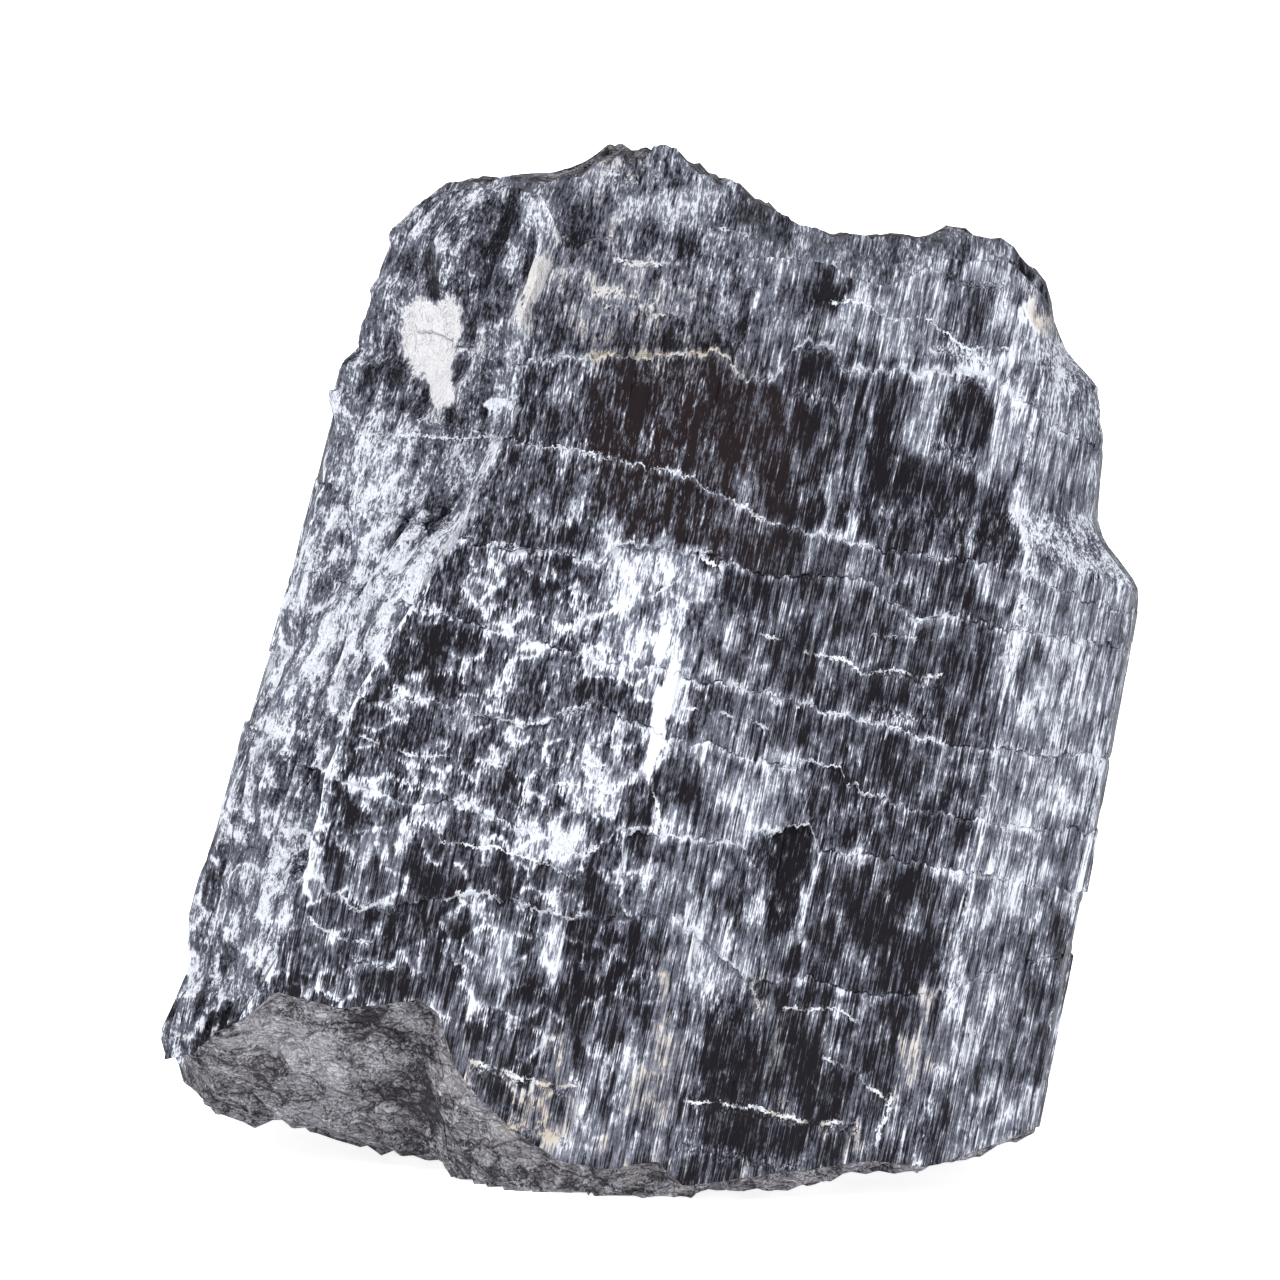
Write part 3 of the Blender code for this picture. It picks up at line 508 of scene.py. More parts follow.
# read-off marks, in (u, w) millimetres over the front and the left side
marks = {
    # strength of the white line in each cross crack, over u
    "guideStrength": (
        ((-17.4, 0.1), (-15, 0.8), (-9, 0.7), (-2, 0.8), (0, 0.1), (3, 0.3), (6.8, 0.7), (9.5, 0.4),
         (11, 0), (20, 0), (24, 0.4)),
        ((-17.4, 0), (-12, 0.1), (-4, 0.5), (-3, 0.9), (-0.5, 0.9), (2, 0.3), (5.5, 0.8), (10.6, 0.8),
         (11.2, 0.1), (20, 0), (26, 0.3)),
        ((-16.5, 0.1), (-11, 0.3), (-9.5, 0.9), (-3.4, 0.9), (-2, 0.2), (4.5, 0.4), (7, 0.5), (9.2, 1),
         (13, 0.9), (14.5, 0.2), (26, 0.2)),
        ((-15, 0), (3, 0.1), (5, 0.8), (15.5, 1), (16.5, 0.1), (26, 0.3)),
        ((-13.2, 0), (-5.5, 0.1), (-4.3, 0.9), (2.4, 0.7), (4, 0.1), (10, 0.3), (14.5, 0.6), (17, 0.1),
         (26, 0.3)),
        ((-11, 1), (-1, 1), (2, 0.8), (5, 0.5), (9, 0.3), (18, 0.15), (25.7, 0.3)),
        ((-11.4, 0.7), (-0.5, 0.9), (1.3, 0.4), (4, 0.6), (6.4, 0.6), (12, 0.7), (15.2, 0.5),
         (22.1, 0.2)),
    ),
    "guideWidth": (0.24, 0.16, 0.14, 0.14, 0.14, 0.14, 0.16),  # from the bottom crack up
    # other cracks: strength, width, points
    "cracks": (
        (0.9, 0.17, ((-8.5, 22.3), (-6.4, 22.2), (-4.4, 22.5))),
        (0.6, 0.13, ((-8.3, 19), (-7, 19.6), (-5.3, 19.5), (-3, 19.8))),
        (0.8, 0.13, ((-9.5, 27.1), (-7, 26.8), (-6, 26), (-5.2, 25.3))),
        (0.5, 0.12, ((-6, 25), (-3, 25.2), (0, 25.1))),
        (0.8, 0.14, ((4.6, 22.3), (6.6, 22.8), (8.4, 22.2), (10.9, 22.6), (13, 21.4), (15.6, 21.9))),
        (0.7, 0.14, ((5, 3.1), (8, 2.5), (10, 2.7), (11.5, 2), (13, 2.7), (14.5, 2.5), (16, 3.1))),
        (0.5, 0.09, ((10, 4.3), (13, 4.6), (16, 4.7), (19.5, 4.6))),
        (0.6, 0.12, ((-13, 5), (-7.5, 5.1))),
        (0.6, 0.12, ((2.2, 7), (2.5, 5), (2.3, 3))),
        (1, 0.4, ((-0.9, 6.6), (0.6, 6.8), (2.3, 6.4))),
        (1, 0.26, ((0.5, 5.7), (-0.6, 4.7), (-1.4, 3.8))),
        (0.7, 0.12, ((1.8, -1.9), (4.5, -1.8), (7.5, -2.3))),
        (0.9, 0.2, ((-3.5, -6.2), (-1.8, -6))),
        (1, 0.26, ((-4.8, -7.7), (-2.5, -7.4), (-1, -7.6))),
        (0.7, 0.13, ((-16, -7.3), (-13, -7.9), (-9.5, -7.2), (-7, -7.6))),
        (0.8, 0.15, ((-10.3, -12.4), (-7.5, -12), (-4.5, -12.2), (-2, -12.8))),
        (0.8, 0.14, ((0.3, -6.4), (1.4, -7), (1.7, -9), (2.5, -9.7))),
        (0.6, 0.12, ((10.9, -17.5), (13.9, -17), (15.4, -17.4))),
        (0.7, 0.13, ((8.4, -16), (9, -16.9), (9.5, -17.8), (10.1, -18.8))),
        (0.5, 0.12, ((13.5, -19.8), (15.2, -20.1), (16.5, -20.9), (17.6, -21.3))),
        (0.6, 0.13, ((16.6, -22), (16.3, -24))),
        (0.6, 0.13, ((17.9, -19), (17.8, -24.9))),
        (0.7, 0.16, ((6.4, -23.9), (8.4, -23.5), (14.5, -23.5), (16.4, -23.1))),
        (0.8, 0.18, ((-6, -24.1), (-3, -24.5), (0.5, -24.5))),
        (0.6, 0.13, ((-17, -17.9), (-14.5, -19), (-12.5, -18.6))),
        (0.9, 0.17, ((-19.8, 9.2), (-16.5, 9.9), (-13.5, 10.4), (-11, 11.1))),
        (0.5, 0.14, ((-22.4, -4), (-19.5, -4.7), (-17, -4.4))),
        (0.5, 0.12, ((19.8, -10), (19.6, -3), (19.9, 3), (19.5, 10))),
        (0.9, 0.13, ((-18.4, -16), (-18.2, -8.5), (-17.5, -4), (-14, 5), (-12.2, 9.6))),
        (0.8, 0.11, ((-19.7, -20), (-19.1, -10), (-18.6, -4), (-16.4, 2))),
        (0.6, 0.14, ((20.3, -13.5), (21.4, -12.4), (22.5, -12.2))),
    ),
    # how pale each patch is, dust together with painted light and shade of the surface, 0 bare to 1.2 solid:
    # centre, half width, half height, level
    "dustAndShading": (
        (-13, -8, 5, 13, 0.3), (-9, 6.5, 4.5, 4.2, 0.28), (-5, -3, 5, 4.4, 0.42), (8, 6, 3.5, 4.5, 0.32),
        (14.8, 2.6, 4.6, 6.2, 0.26), (14.6, -7, 5.6, 6.5, 0.22), (14, -17.5, 5.6, 7.5, 0.14),
        (23, 0, 3.4, 12, 0.62), (23, -18, 3.4, 7, 0.42), (19.6, 16, 2.6, 6, 0.56),
        (-6, 20.4, 5.2, 3.2, 0.5), (4, 22.4, 5, 2.2, 0.5), (12, 22.8, 6, 2.8, 0.62),
        (-7.5, 13.6, 3, 2.4, 0.32), (-1.6, 14.2, 4.2, 4.6, 0.05), (-1, 9.6, 3.6, 2.6, 0.12),
        (4.8, 14.4, 1.6, 5.4, 0.12), (7.9, 15.2, 1.7, 5, 0.2), (10.6, 12.6, 1.7, 3.2, 0.06),
        (8.2, 10.9, 1.6, 1.3, 0.1), (11.6, 17.6, 0.8, 2.4, 0.72), (14, 17.4, 1.2, 2.4, 0.12),
        (16.4, 17.6, 1, 2.6, 0.82), (15.6, 11.8, 2.6, 2.6, 0.18), (12.9, 22.8, 1.8, 1.8, 0.22),
        (14.2, 20.4, 1.4, 0.7, 0.95), (13, 25.5, 0.7, 0.5, 0.9), (16.4, 24.2, 0.7, 0.8, 0.95),
        (0.5, 20.5, 0.6, 1.6, 0.08), (4.6, 23, 1, 1.1, 0.12), (7.3, 13, 0.25, 2.2, 0.6),
        (8.6, 14.2, 0.25, 4, 0.6), (19.8, 17, 0.4, 1.7, 0.9), (18.2, 14, 0.4, 1.3, 0.9),
        (23.4, 9.4, 1.8, 1.2, 0.58), (18, 8.8, 1.6, 0.8, 0.6), (-9.2, 9, 0.5, 1.2, 0.55),
        (-6.2, 8.8, 0.5, 1.2, 0.6), (3.7, 6.6, 1.2, 2.8, 0.16), (-1.1, 5.9, 3.5, 1.1, 0.8),
        (-0.6, 2.2, 3, 2.6, 0.72), (-0.6, 0.4, 1.6, 1.6, 0.84), (3.2, 3.5, 0.7, 1.1, 0.6),
        (-6.2, 2.2, 0.9, 0.9, 0.55), (4.8, -2.6, 3.6, 2.2, 0.44), (8.2, -3.8, 1, 0.5, 0.9),
        (-11.7, -2.4, 1.4, 1.8, 0.16), (-12.8, -7.5, 0.5, 2, 0.16), (-2.9, -7.5, 1.9, 0.7, 0.9),
        (-2.4, -5.6, 1.8, 1.4, 0.55), (6.7, -6.8, 1.5, 2.2, 0.66), (2.8, -9, 0.8, 0.9, 0.8),
        (0.9, -8, 0.4, 1.4, 0.1), (8.7, -8.9, 1.7, 1.2, 0.05), (-3.6, -10.9, 1.7, 0.9, 0.85),
        (0.8, -12.6, 2.8, 2.4, 0.38), (5.55, -13, 0.35, 3.2, 0.75), (8.2, -14, 0.8, 3, 0.5),
        (11.2, -12.6, 0.2, 2.4, 0.6), (-8.8, -17.8, 1.4, 3, 0.08), (-12.4, -17.6, 0.2, 2, 0.6),
        (-11, -17.6, 0.2, 2, 0.6), (-5.5, -18.7, 0.6, 1.4, 0.88), (-0.6, -18.8, 1.2, 2.2, 0.16),
        (-2.4, -16.5, 0.4, 1.6, 0.72), (1.8, -17.6, 2, 2.6, 0.08), (3.8, -17.6, 0.25, 2.2, 0.5),
        (7.2, -15.7, 1.9, 1.2, 0.74), (19, -17.6, 1, 2.6, 0.4), (-5, -22.4, 2.2, 2.4, 0.2),
        (-4.6, -24.6, 3.4, 1.8, 0.18), (-0.8, -22.6, 0.9, 2.4, 0.42), (2.1, -22.6, 1.3, 2.6, 0.5),
        (4.9, -22.6, 1.4, 2.4, 0.5), (8.2, -22, 1.7, 2.8, 0.12), (1.7, -26.6, 1.9, 1.6, 0.72),
        (5.4, -26.4, 1.6, 1.4, 0.42), (10.6, -26.4, 3.5, 1.4, 0.14), (21.7, -8.2, 0.8, 1.4, 0.95),
        (24.2, -7, 0.5, 1.1, 0.85), (21.4, 4, 0.9, 2, 0.85), (22, -3.4, 1, 1.2, 0.85),
    ),
    # level on the left side, over w
    "leftDust": (
        (-25.5, -0.07), (-22.5, 0.28), (-14.5, 0.29), (-10, 0.4), (-5, 0.55), (-2, 0.56), (8, 0.55),
        (12, 0.2), (15, 0.12),
    ),
    # solid white: centre, half width, half height
    "smears": (
        (0.65, -2.8, 0.42, 2.9), (-0.1, 1.6, 0.3, 0.7), (-16.6, 15.6, 1.4, 1.9), (-15.6, 13.2, 0.6, 0.9),
        (-12.2, 13, 0.4, 0.3), (16.4, 24.4, 0.3, 0.4), (-11.4, 20.1, 0.3, 1.3),
    ),
    # yellowish dust: centre, half width, half height, level
    "beige": (
        (-8.7, 23.8, 1.2, 1, 0.9), (-6, 20.4, 4.5, 2.4, 0.5), (-5, 17.6, 6, 0.9, 0.8),
        (-9, 28, 2, 1.4, 0.5), (17.4, 24.6, 0.8, 1, 0.7), (19, -17.6, 1, 2.6, 0.7),
        (3.9, -17.6, 0.4, 2.4, 0.9), (-0.8, -22.6, 1, 2.4, 0.8), (4.9, -22.6, 1.4, 2.4, 0.8),
        (11.4, -20.6, 0.7, 2.6, 0.8), (14.6, -24.4, 2.6, 0.9, 0.8), (-2, -26.6, 2.4, 1.8, 0.9),
        (5.6, -28, 3.2, 0.9, 1), (11, -27.6, 6, 0.8, 0.5), (10, -17.6, 1.2, 1.6, 0.7),
        (-18.6, -27.4, 3, 1.2, 0.4), (-7.2, -24.8, 1.4, 2.4, 0.6), (-16.3, 15, 2.4, 3.2, 0.35),
        (-11.4, 20.1, 0.8, 2, 0.5),
    ),
    # smooth brownish black: centre, half width, half height, level
    "brown": ((-1, 13.4, 6, 4.6, 1), (0, 9, 5, 2.4, 0.8), (-8, -24, 3, 3, 0.4)),
    "rough": ((-5, 21.6, 6, 3.2, 0.4), (4.5, 23.4, 4.6, 1.6, 0.3)),
    # paler and darker facets of the lower break, painted light and shade on the facets with a painted
    # highlight at the rim: centre, half width, half height, level
    "broken": (
        (-17, -27.2, 3.4, 1.3, 0.95), (-16.4, -24.6, 2.6, 1.2, 0.85), (-12, -26.4, 2.4, 1, 0.75),
        (-11.6, -23.6, 2, 1, 0.45), (-8.6, -27.2, 1.3, 1.9, 0.25), (-7.2, -24.6, 1, 1.8, 0.85),
        (-4.6, -27.6, 1.6, 1, 0.8), (-19, -28.4, 2.6, 1.4, 0.5), (-12.5, -29, 2.6, 0.8, 0.65),
    ),
    # how patches are drawn: steps from flake to flake, noise layers (height, sizes, seed), where they fade
    "patchStep": 0.9,
    "patchDrift": (0.8, (1.3, 1.3), 64),
    "patchSway": (0.6, (1.4, 2.0), 65),
    "patchFray": (0.25, (0.45, 0.45), 59),
    "patchRim": (0.7, 1.4),  # parts of the half size
    "patchPower": 3,
    # how crack lines are drawn: full and gone at these distances, fade at the ends, jags
    "crackReach": (0.5, 0.95),
    "crackEnd": 0.3,
    "crackWander": 0.22,
    "levelStep": 0.5,
    "levelJag": (0.5, (0.8,)),
    "uprightJag": (0.7, (0.7,)),
    "crackLayers": ("crackA", "crackB", "crackC"),
    "leftCrack": 0.3,
    "hiddenCrack": (-0.3, 0.6),
    "hiddenLength": (7.0,),
    # dust on the front, on hidden sides, and how it changes with strips and panels
    "frontDust": 0.3,
    "hiddenDust": 0.36,
    "hiddenNoise": (0.2, (6.0, 9.0), 67),
    "stripLength": 1.7,
    "stripDust": 0.22,
    "panelLength": 6.5,
    "panelShift": 3.0,
    "panelDust": 0.1,
    "panelMore": 0.24,  # nearer the bottom
    "panelFrom": (7.0, 12.0),
    "leftRim": (0.36, (-14.6, -12.4), (11.0, 15.0)),  # amount, over u, over w
    "leftNoise": (0.34, (1.2, 2.6, 1.2), 68),
    "leftRidge": 0.3,
    "leftOut": (-0.5, 1.0),
    "smearLoose": 0.5,
    "smearDust": 2.5,
    # breaks: base level and looseness of their patches, how torn they are, and the bevel at the top
    "breakDust": (0.6, 0.6),
    "breakTorn": 0.7,
    "bevelDust": 0.52,
    "bevelNoise": (0.3, (1.6, 1.6), 60),
    "bevelTorn": (0.9, 0.8, (-11.0, -8.5)),  # at the left, less at the right, over u
    "bevelDepth": 0.12,
    # dust at steps; edge wear with a painted highlight on long edges; dust on shelves that face up, with
    # painted top light
    "stepHeight": (0.05, 0.28),
    "arrisReach": 0.3,
    "arrisHighlightAndWear": 1.3,
    "arrisFrom": (-9.0, -6.0),
    "shelfTurn": (0.12, 0.55),
    "shelfHidden": 0.25,
    "shelfRim": 0.2,
    "shelfFrom": (0.05, 0.5),
    "shelfRight": 0.6,
    "shelfRightFrom": (18.5, 20.5),
    "beigeLeast": 0.08,
    "beigeBreak": 0.12,
    "brownLeast": 0.15,
}


# levels of listed patches over a base level; their ends step from flake to flake
def patchLevel(u, w, patches, base, loose=1.0):
    step = marks["patchStep"] * (gridHash(cellOf(u, crystal["blockPitch"]), 0, 0, 63) - 0.5)
    stepped = w + loose * (step + layerNoise(marks["patchDrift"], u, w))
    shifted = u + loose * layerNoise(marks["patchSway"], u, w) + layerNoise(marks["patchFray"], u, w)
    full, end = marks["patchRim"]
    power = marks["patchPower"]
    level = np.broadcast_to(base, u.shape)
    for atU, atW, halfU, halfW, value in patches:
        away = np.abs((shifted - atU) / halfU) ** power + np.abs((stepped - atW) / halfW) ** power
        level = level + (value - level) * ease(-end, -full, -away ** (1.0 / power))
    return level


# 1 on a crack line and 0 away from it
def nearLine(offset):
    full, end = marks["crackReach"]
    return ease(-end, -full, -np.abs(offset))


# offset from a crack line in mm and its strength; the line is read upright or level, whichever it mostly is
def crackField(u, w, points, strength, seed):
    places, heights = zip(*points)
    if abs(places[-1] - places[0]) > max(heights) - min(heights):
        position, across, ordered = u, w, sorted(points)
        step = marks["levelStep"] * gridHash(cellOf(u, crystal["jagPitch"]), 0, 0, seed)
        jag = step + layerNoise((*marks["levelJag"], seed), u)
    else:
        position, across, ordered = w, u, sorted(zip(heights, places))
        jag = layerNoise((*marks["uprightJag"], seed), w)
    offset = across - along(ordered, position) - marks["crackWander"] * jag
    (first, _), (last, _), fade = ordered[0], ordered[-1], marks["crackEnd"]
    ends = ease(first - fade, first + fade, position) * ease(-last - fade, fade - last, -position)
    return offset, strength * ends * nearLine(offset)


# cracks in as few layers as keep them apart: each layer holds offset, strength and width at every point
def crackLayers(net):
    layers = [np.zeros(net["u"].shape + (3,)) for _ in marks["crackLayers"]]
    shown = (net["side"] & net["seen"]) | net["bevel"]
    fields = []
    for number, line in enumerate(net["lines"][1:-1]):
        offset = net["w"] - line
        over = along(marks["guideStrength"][number], net["u"])
        hidden = layerNoise((1.0, marks["hiddenLength"], 80 + number), net["around"])
        hidden = ease(*marks["hiddenCrack"], hidden)
        hidden = np.where(net["seen"], marks["leftCrack"], 1.0) * hidden
        strength = np.where(net["front"], over, hidden) * net["side"] * nearLine(offset)
        fields.append((offset, strength, marks["guideWidth"][number]))
    for number, (strength, width, points) in enumerate(marks["cracks"]):
        offset, strength = crackField(net["u"], net["w"], points, strength, 90 + number)
        fields.append((offset, strength * shown, width))
    for offset, strength, width in fields:
        here = strength > 0.0
        clashes = [np.count_nonzero(here & (layer[..., 1] > 0.0)) for layer in layers]
        layer = layers[int(np.argmin(clashes))]
        stronger = here & (strength > layer[..., 1])
        layer[stronger] = np.stack((offset, strength, np.full(offset.shape, width)), axis=-1)[stronger]
    return layers


# rows and columns of the closed surface with what its marks are worked out from
def crystalNet():
    face, share, around, edgeGap = spreadColumns()
    w, stretch, groove, lines = sideRows(face, share, around)
    face, share, around, edgeGap = (np.broadcast_to(a, w.shape) for a in (face, share, around, edgeGap))
    u, d = prismPoint(face, share, w)
    front = face < crystal["frontFaces"]
    left = face == len(crystal["edges"]) - 1
    torn = np.where(front, patchLevel(u, w, marks["rough"], 0.0), np.maximum(left, scarShare(around, w)))
    out = broadRelief(face, share, around, w, u, d, stretch, lines[1:-1])
    out = out + fineRelief(face, around, w, u, d, torn) - edgeChips(edgeGap, w)
    out = out - crystal["grooveDepth"] * groove
    normalU, normalD = outward(u, d)
    u, d = u + normalU * out, d + normalD * out
    base, basePoint = closeEnd(u[0], d[0], baseLevel, crystal["baseGrit"], 23)
    top, topPoint = closeEnd(u[-1], d[-1], topLevel, crystal["topGrit"], 33)
    w[0], w[-1] = baseLevel(u[0], d[0]), topLevel(u[-1], d[-1])
    points = np.concatenate((np.array(base[::-1]), np.stack((u, d, w), axis=2), np.array(top)))
    caps = crystal["capRings"] - 1

    # values of the sides, with one fixed value on both breaks
    def overCaps(values, fill):
        ring = np.full((caps, face.shape[1]), fill)
        return np.concatenate((ring, values, ring))

    net = {"u": points[..., 0], "d": points[..., 1], "w": points[..., 2], "ends": (basePoint, topPoint)}
    net["side"] = overCaps(np.ones(w.shape, bool), False)
    net["around"] = np.concatenate((around[:caps], around, around[:caps]))
    net["seen"] = overCaps(front | left, True)
    net["front"] = overCaps(front, False)
    net["torn"] = overCaps(torn, marks["breakTorn"])
    net["out"] = overCaps(out, 0.0)
    net["arris"] = overCaps(np.exp(-(edgeGap / marks["arrisReach"]) ** 2), 0.0)
    net["lines"] = lines
    behind = net["d"] - along(crystal["topFront"], net["u"])
    net["bevel"] = ~net["side"] & (net["w"] > 0.0) & (behind < crystal["topBevel"])
    return net


# dust on the left side: a level over w, more at the upper front edge and on what stands out, and noise
def leftDust(net):
    amount, overU, overW = marks["leftRim"]
    level = along(marks["leftDust"], net["w"]) + amount * ease(*overU, net["u"]) * ease(*overW, net["w"])
    level = level + layerNoise(marks["leftNoise"], net["u"], net["w"], net["d"])
    return level + marks["leftRidge"] * ease(*marks["leftOut"], net["out"])


# dust on the sides, with painted light and shade in the front's patches: patches, changed from strip to strip
# and from panel to panel
def sideDustAndShading(net):
    u, w, front = net["u"], net["w"], net["front"]
    left = net["seen"] & ~front
    hidden = marks["hiddenDust"] + layerNoise(marks["hiddenNoise"], net["around"], w)
    # the front's patches carry dust together with painted light and shade
    dustAndShading = np.where(front, patchLevel(u, w, marks["dustAndShading"], marks["frontDust"]), hidden)
    dustAndShading = np.where(left, leftDust(net), dustAndShading)
    strip = cellOf(np.where(front, u, net["around"]), crystal["blockPitch"])
    strips = stripValue(strip, w, marks["stripLength"], crystal["blockShift"], 0, 66)
    dustAndShading = dustAndShading + marks["stripDust"] * (strips - 0.5) * ~left
    panel = np.searchsorted(crystal["panels"], u)
    panels = stripValue(panel, w, marks["panelLength"], marks["panelShift"], 0, 58)
    amount = marks["panelDust"] + marks["panelMore"] * ease(*marks["panelFrom"], -w)
    return dustAndShading + amount * (panels - 0.5) * front


# levels of dust with painted light and shade, of shelves (paler where they face up, with painted top light)
# and of edges (with a painted highlight on the long edges), then yellowish, brownish and torn levels, at
# every point
def crystalMarks(net, upward):
    u, w, side = net["u"], net["w"], net["side"]
    # on the breaks, the facets' painted light and shade goes in with the dust
    dustAndShading = np.where(side, sideDustAndShading(net), patchLevel(u, w, marks["broken"], *marks["breakDust"]))
    smears = [patch + (1.0,) for patch in marks["smears"]]
    solid = patchLevel(u, w, smears, 0.0, marks["smearLoose"]) * (side & net["seen"])
    dustAndShading = np.clip(dustAndShading, 0.0, 1.0) + marks["smearDust"] * solid
    dustAndShading = np.where(net["bevel"], marks["bevelDust"] + layerNoise(marks["bevelNoise"], u, w), dustAndShading)
    steps = np.abs(np.roll(net["out"], 1, axis=1) - np.roll(net["out"], -1, axis=1))
    # long edges: edge wear with a painted highlight, on the left front kept to the lower part
    lit = np.where((u < 0.0) & net["seen"], ease(*marks["arrisFrom"], -w), 1.0)
    edge = ease(*marks["stepHeight"], steps) * side + marks["arrisHighlightAndWear"] * net["arris"] * lit
    # paler where the surface faces up: dust on shelves, with painted top light; less on hidden faces, at the
    # top rim and to the right
    shelf = ease(*marks["shelfTurn"], upward) * side * np.where(net["front"], 1.0, marks["shelfHidden"])
    rimShare = marks["shelfRim"]
    shelf = shelf * (rimShare + (1.0 - rimShare) * ease(*marks["shelfFrom"], net["lines"][-1] - w))
    shelf = shelf * (1.0 - marks["shelfRight"] * ease(*marks["shelfRightFrom"], u))
    beige = patchLevel(u, w, marks["beige"], marks["beigeLeast"]) * net["seen"]
    beige = np.where(side, beige, np.maximum(beige, marks["beigeBreak"]))
    brown = patchLevel(u, w, marks["brown"], marks["brownLeast"]) * net["front"]
    bevelTorn, bevelLess, bevelFrom = marks["bevelTorn"]
    torn = np.where(net["bevel"], bevelTorn - bevelLess * ease(*bevelFrom, u), net["torn"])
    return np.stack((dustAndShading, shelf, edge), axis=-1), np.stack((beige, brown, torn), axis=-1)


# vector attribute in mesh order: the rings, with one point before and one after for the middles of the breaks
def storeVectors(mesh, name, values):
    ordered = np.concatenate((values[0, :1], values.reshape(-1, 3), values[-1, :1]))
    layer = mesh.attributes.new(name, "FLOAT_VECTOR", "POINT")
    layer.data.foreach_set("vector", ordered.astype(np.float32).ravel())


# closed surface over the net: a fan, bands of quads, a fan
def crystalObject(skin, broken):
    net = crystalNet()
    rings, columns = net["u"].shape
    sheet = np.stack((net["u"], net["d"], net["w"]), axis=-1)
    points = np.concatenate((net["ends"][0][None], sheet.reshape(-1, 3), net["ends"][1][None]))
    front = along(crystal["topFront"], net["u"])
    grown = sheet.copy()  # marks on the bevel run on from the front, as if it weren't tilted back
    grown[..., 1] = np.where(net["bevel"], front + marks["bevelDepth"] * (net["d"] - front), net["d"])
    column = np.arange(columns)
    after = (column + 1) % columns
    low = 1 + np.arange(rings - 1)[:, None] * columns
    quads = np.stack((low + column, low + after, low + columns + after, low + columns + column), axis=-1)
    last = 1 + (rings - 1) * columns
    first = np.stack((np.zeros_like(column), 1 + after, 1 + column), axis=-1)
    final = np.stack((last + column, last + after, np.full_like(column, rings * columns + 1)), axis=-1)
    mesh = bpy.data.meshes.new("tourmaline crystal")
    mesh.from_pydata(standUp(points), [], first.tolist() + quads.reshape(-1, 4).tolist() + final.tolist())
    mesh.materials.append(skin)
    mesh.materials.append(broken)
    striated = net["side"] | net["bevel"]
    striated = (striated[:-1] & striated[1:]).ravel()
    slots = np.concatenate((np.ones(columns), np.where(striated, 0, 1), np.ones(columns)))
    mesh.polygons.foreach_set("material_index", slots.astype(np.int32))
    mesh.set_sharp_from_angle(angle=math.radians(crystal["sharpAngle"]))
    normals = np.zeros(len(points) * 3)
    mesh.vertices.foreach_get("normal", normals)
    lean = math.radians(crystal["leanRight"])
    upward = normals.reshape(-1, 3)[1:-1] @ np.array((math.sin(lean), 0.0, math.cos(lean)))
    coat, tone = crystalMarks(net, upward.reshape(rings, columns))
    names = ("grown", "coat", "tone", *marks["crackLayers"])
    for name, values in zip(names, (grown, coat, tone, *crackLayers(net))):
        storeVectors(mesh, name, values)
    piece = bpy.data.objects.new("tourmalineCrystal", mesh)
    bpy.context.scene.collection.objects.link(piece)
    return piece


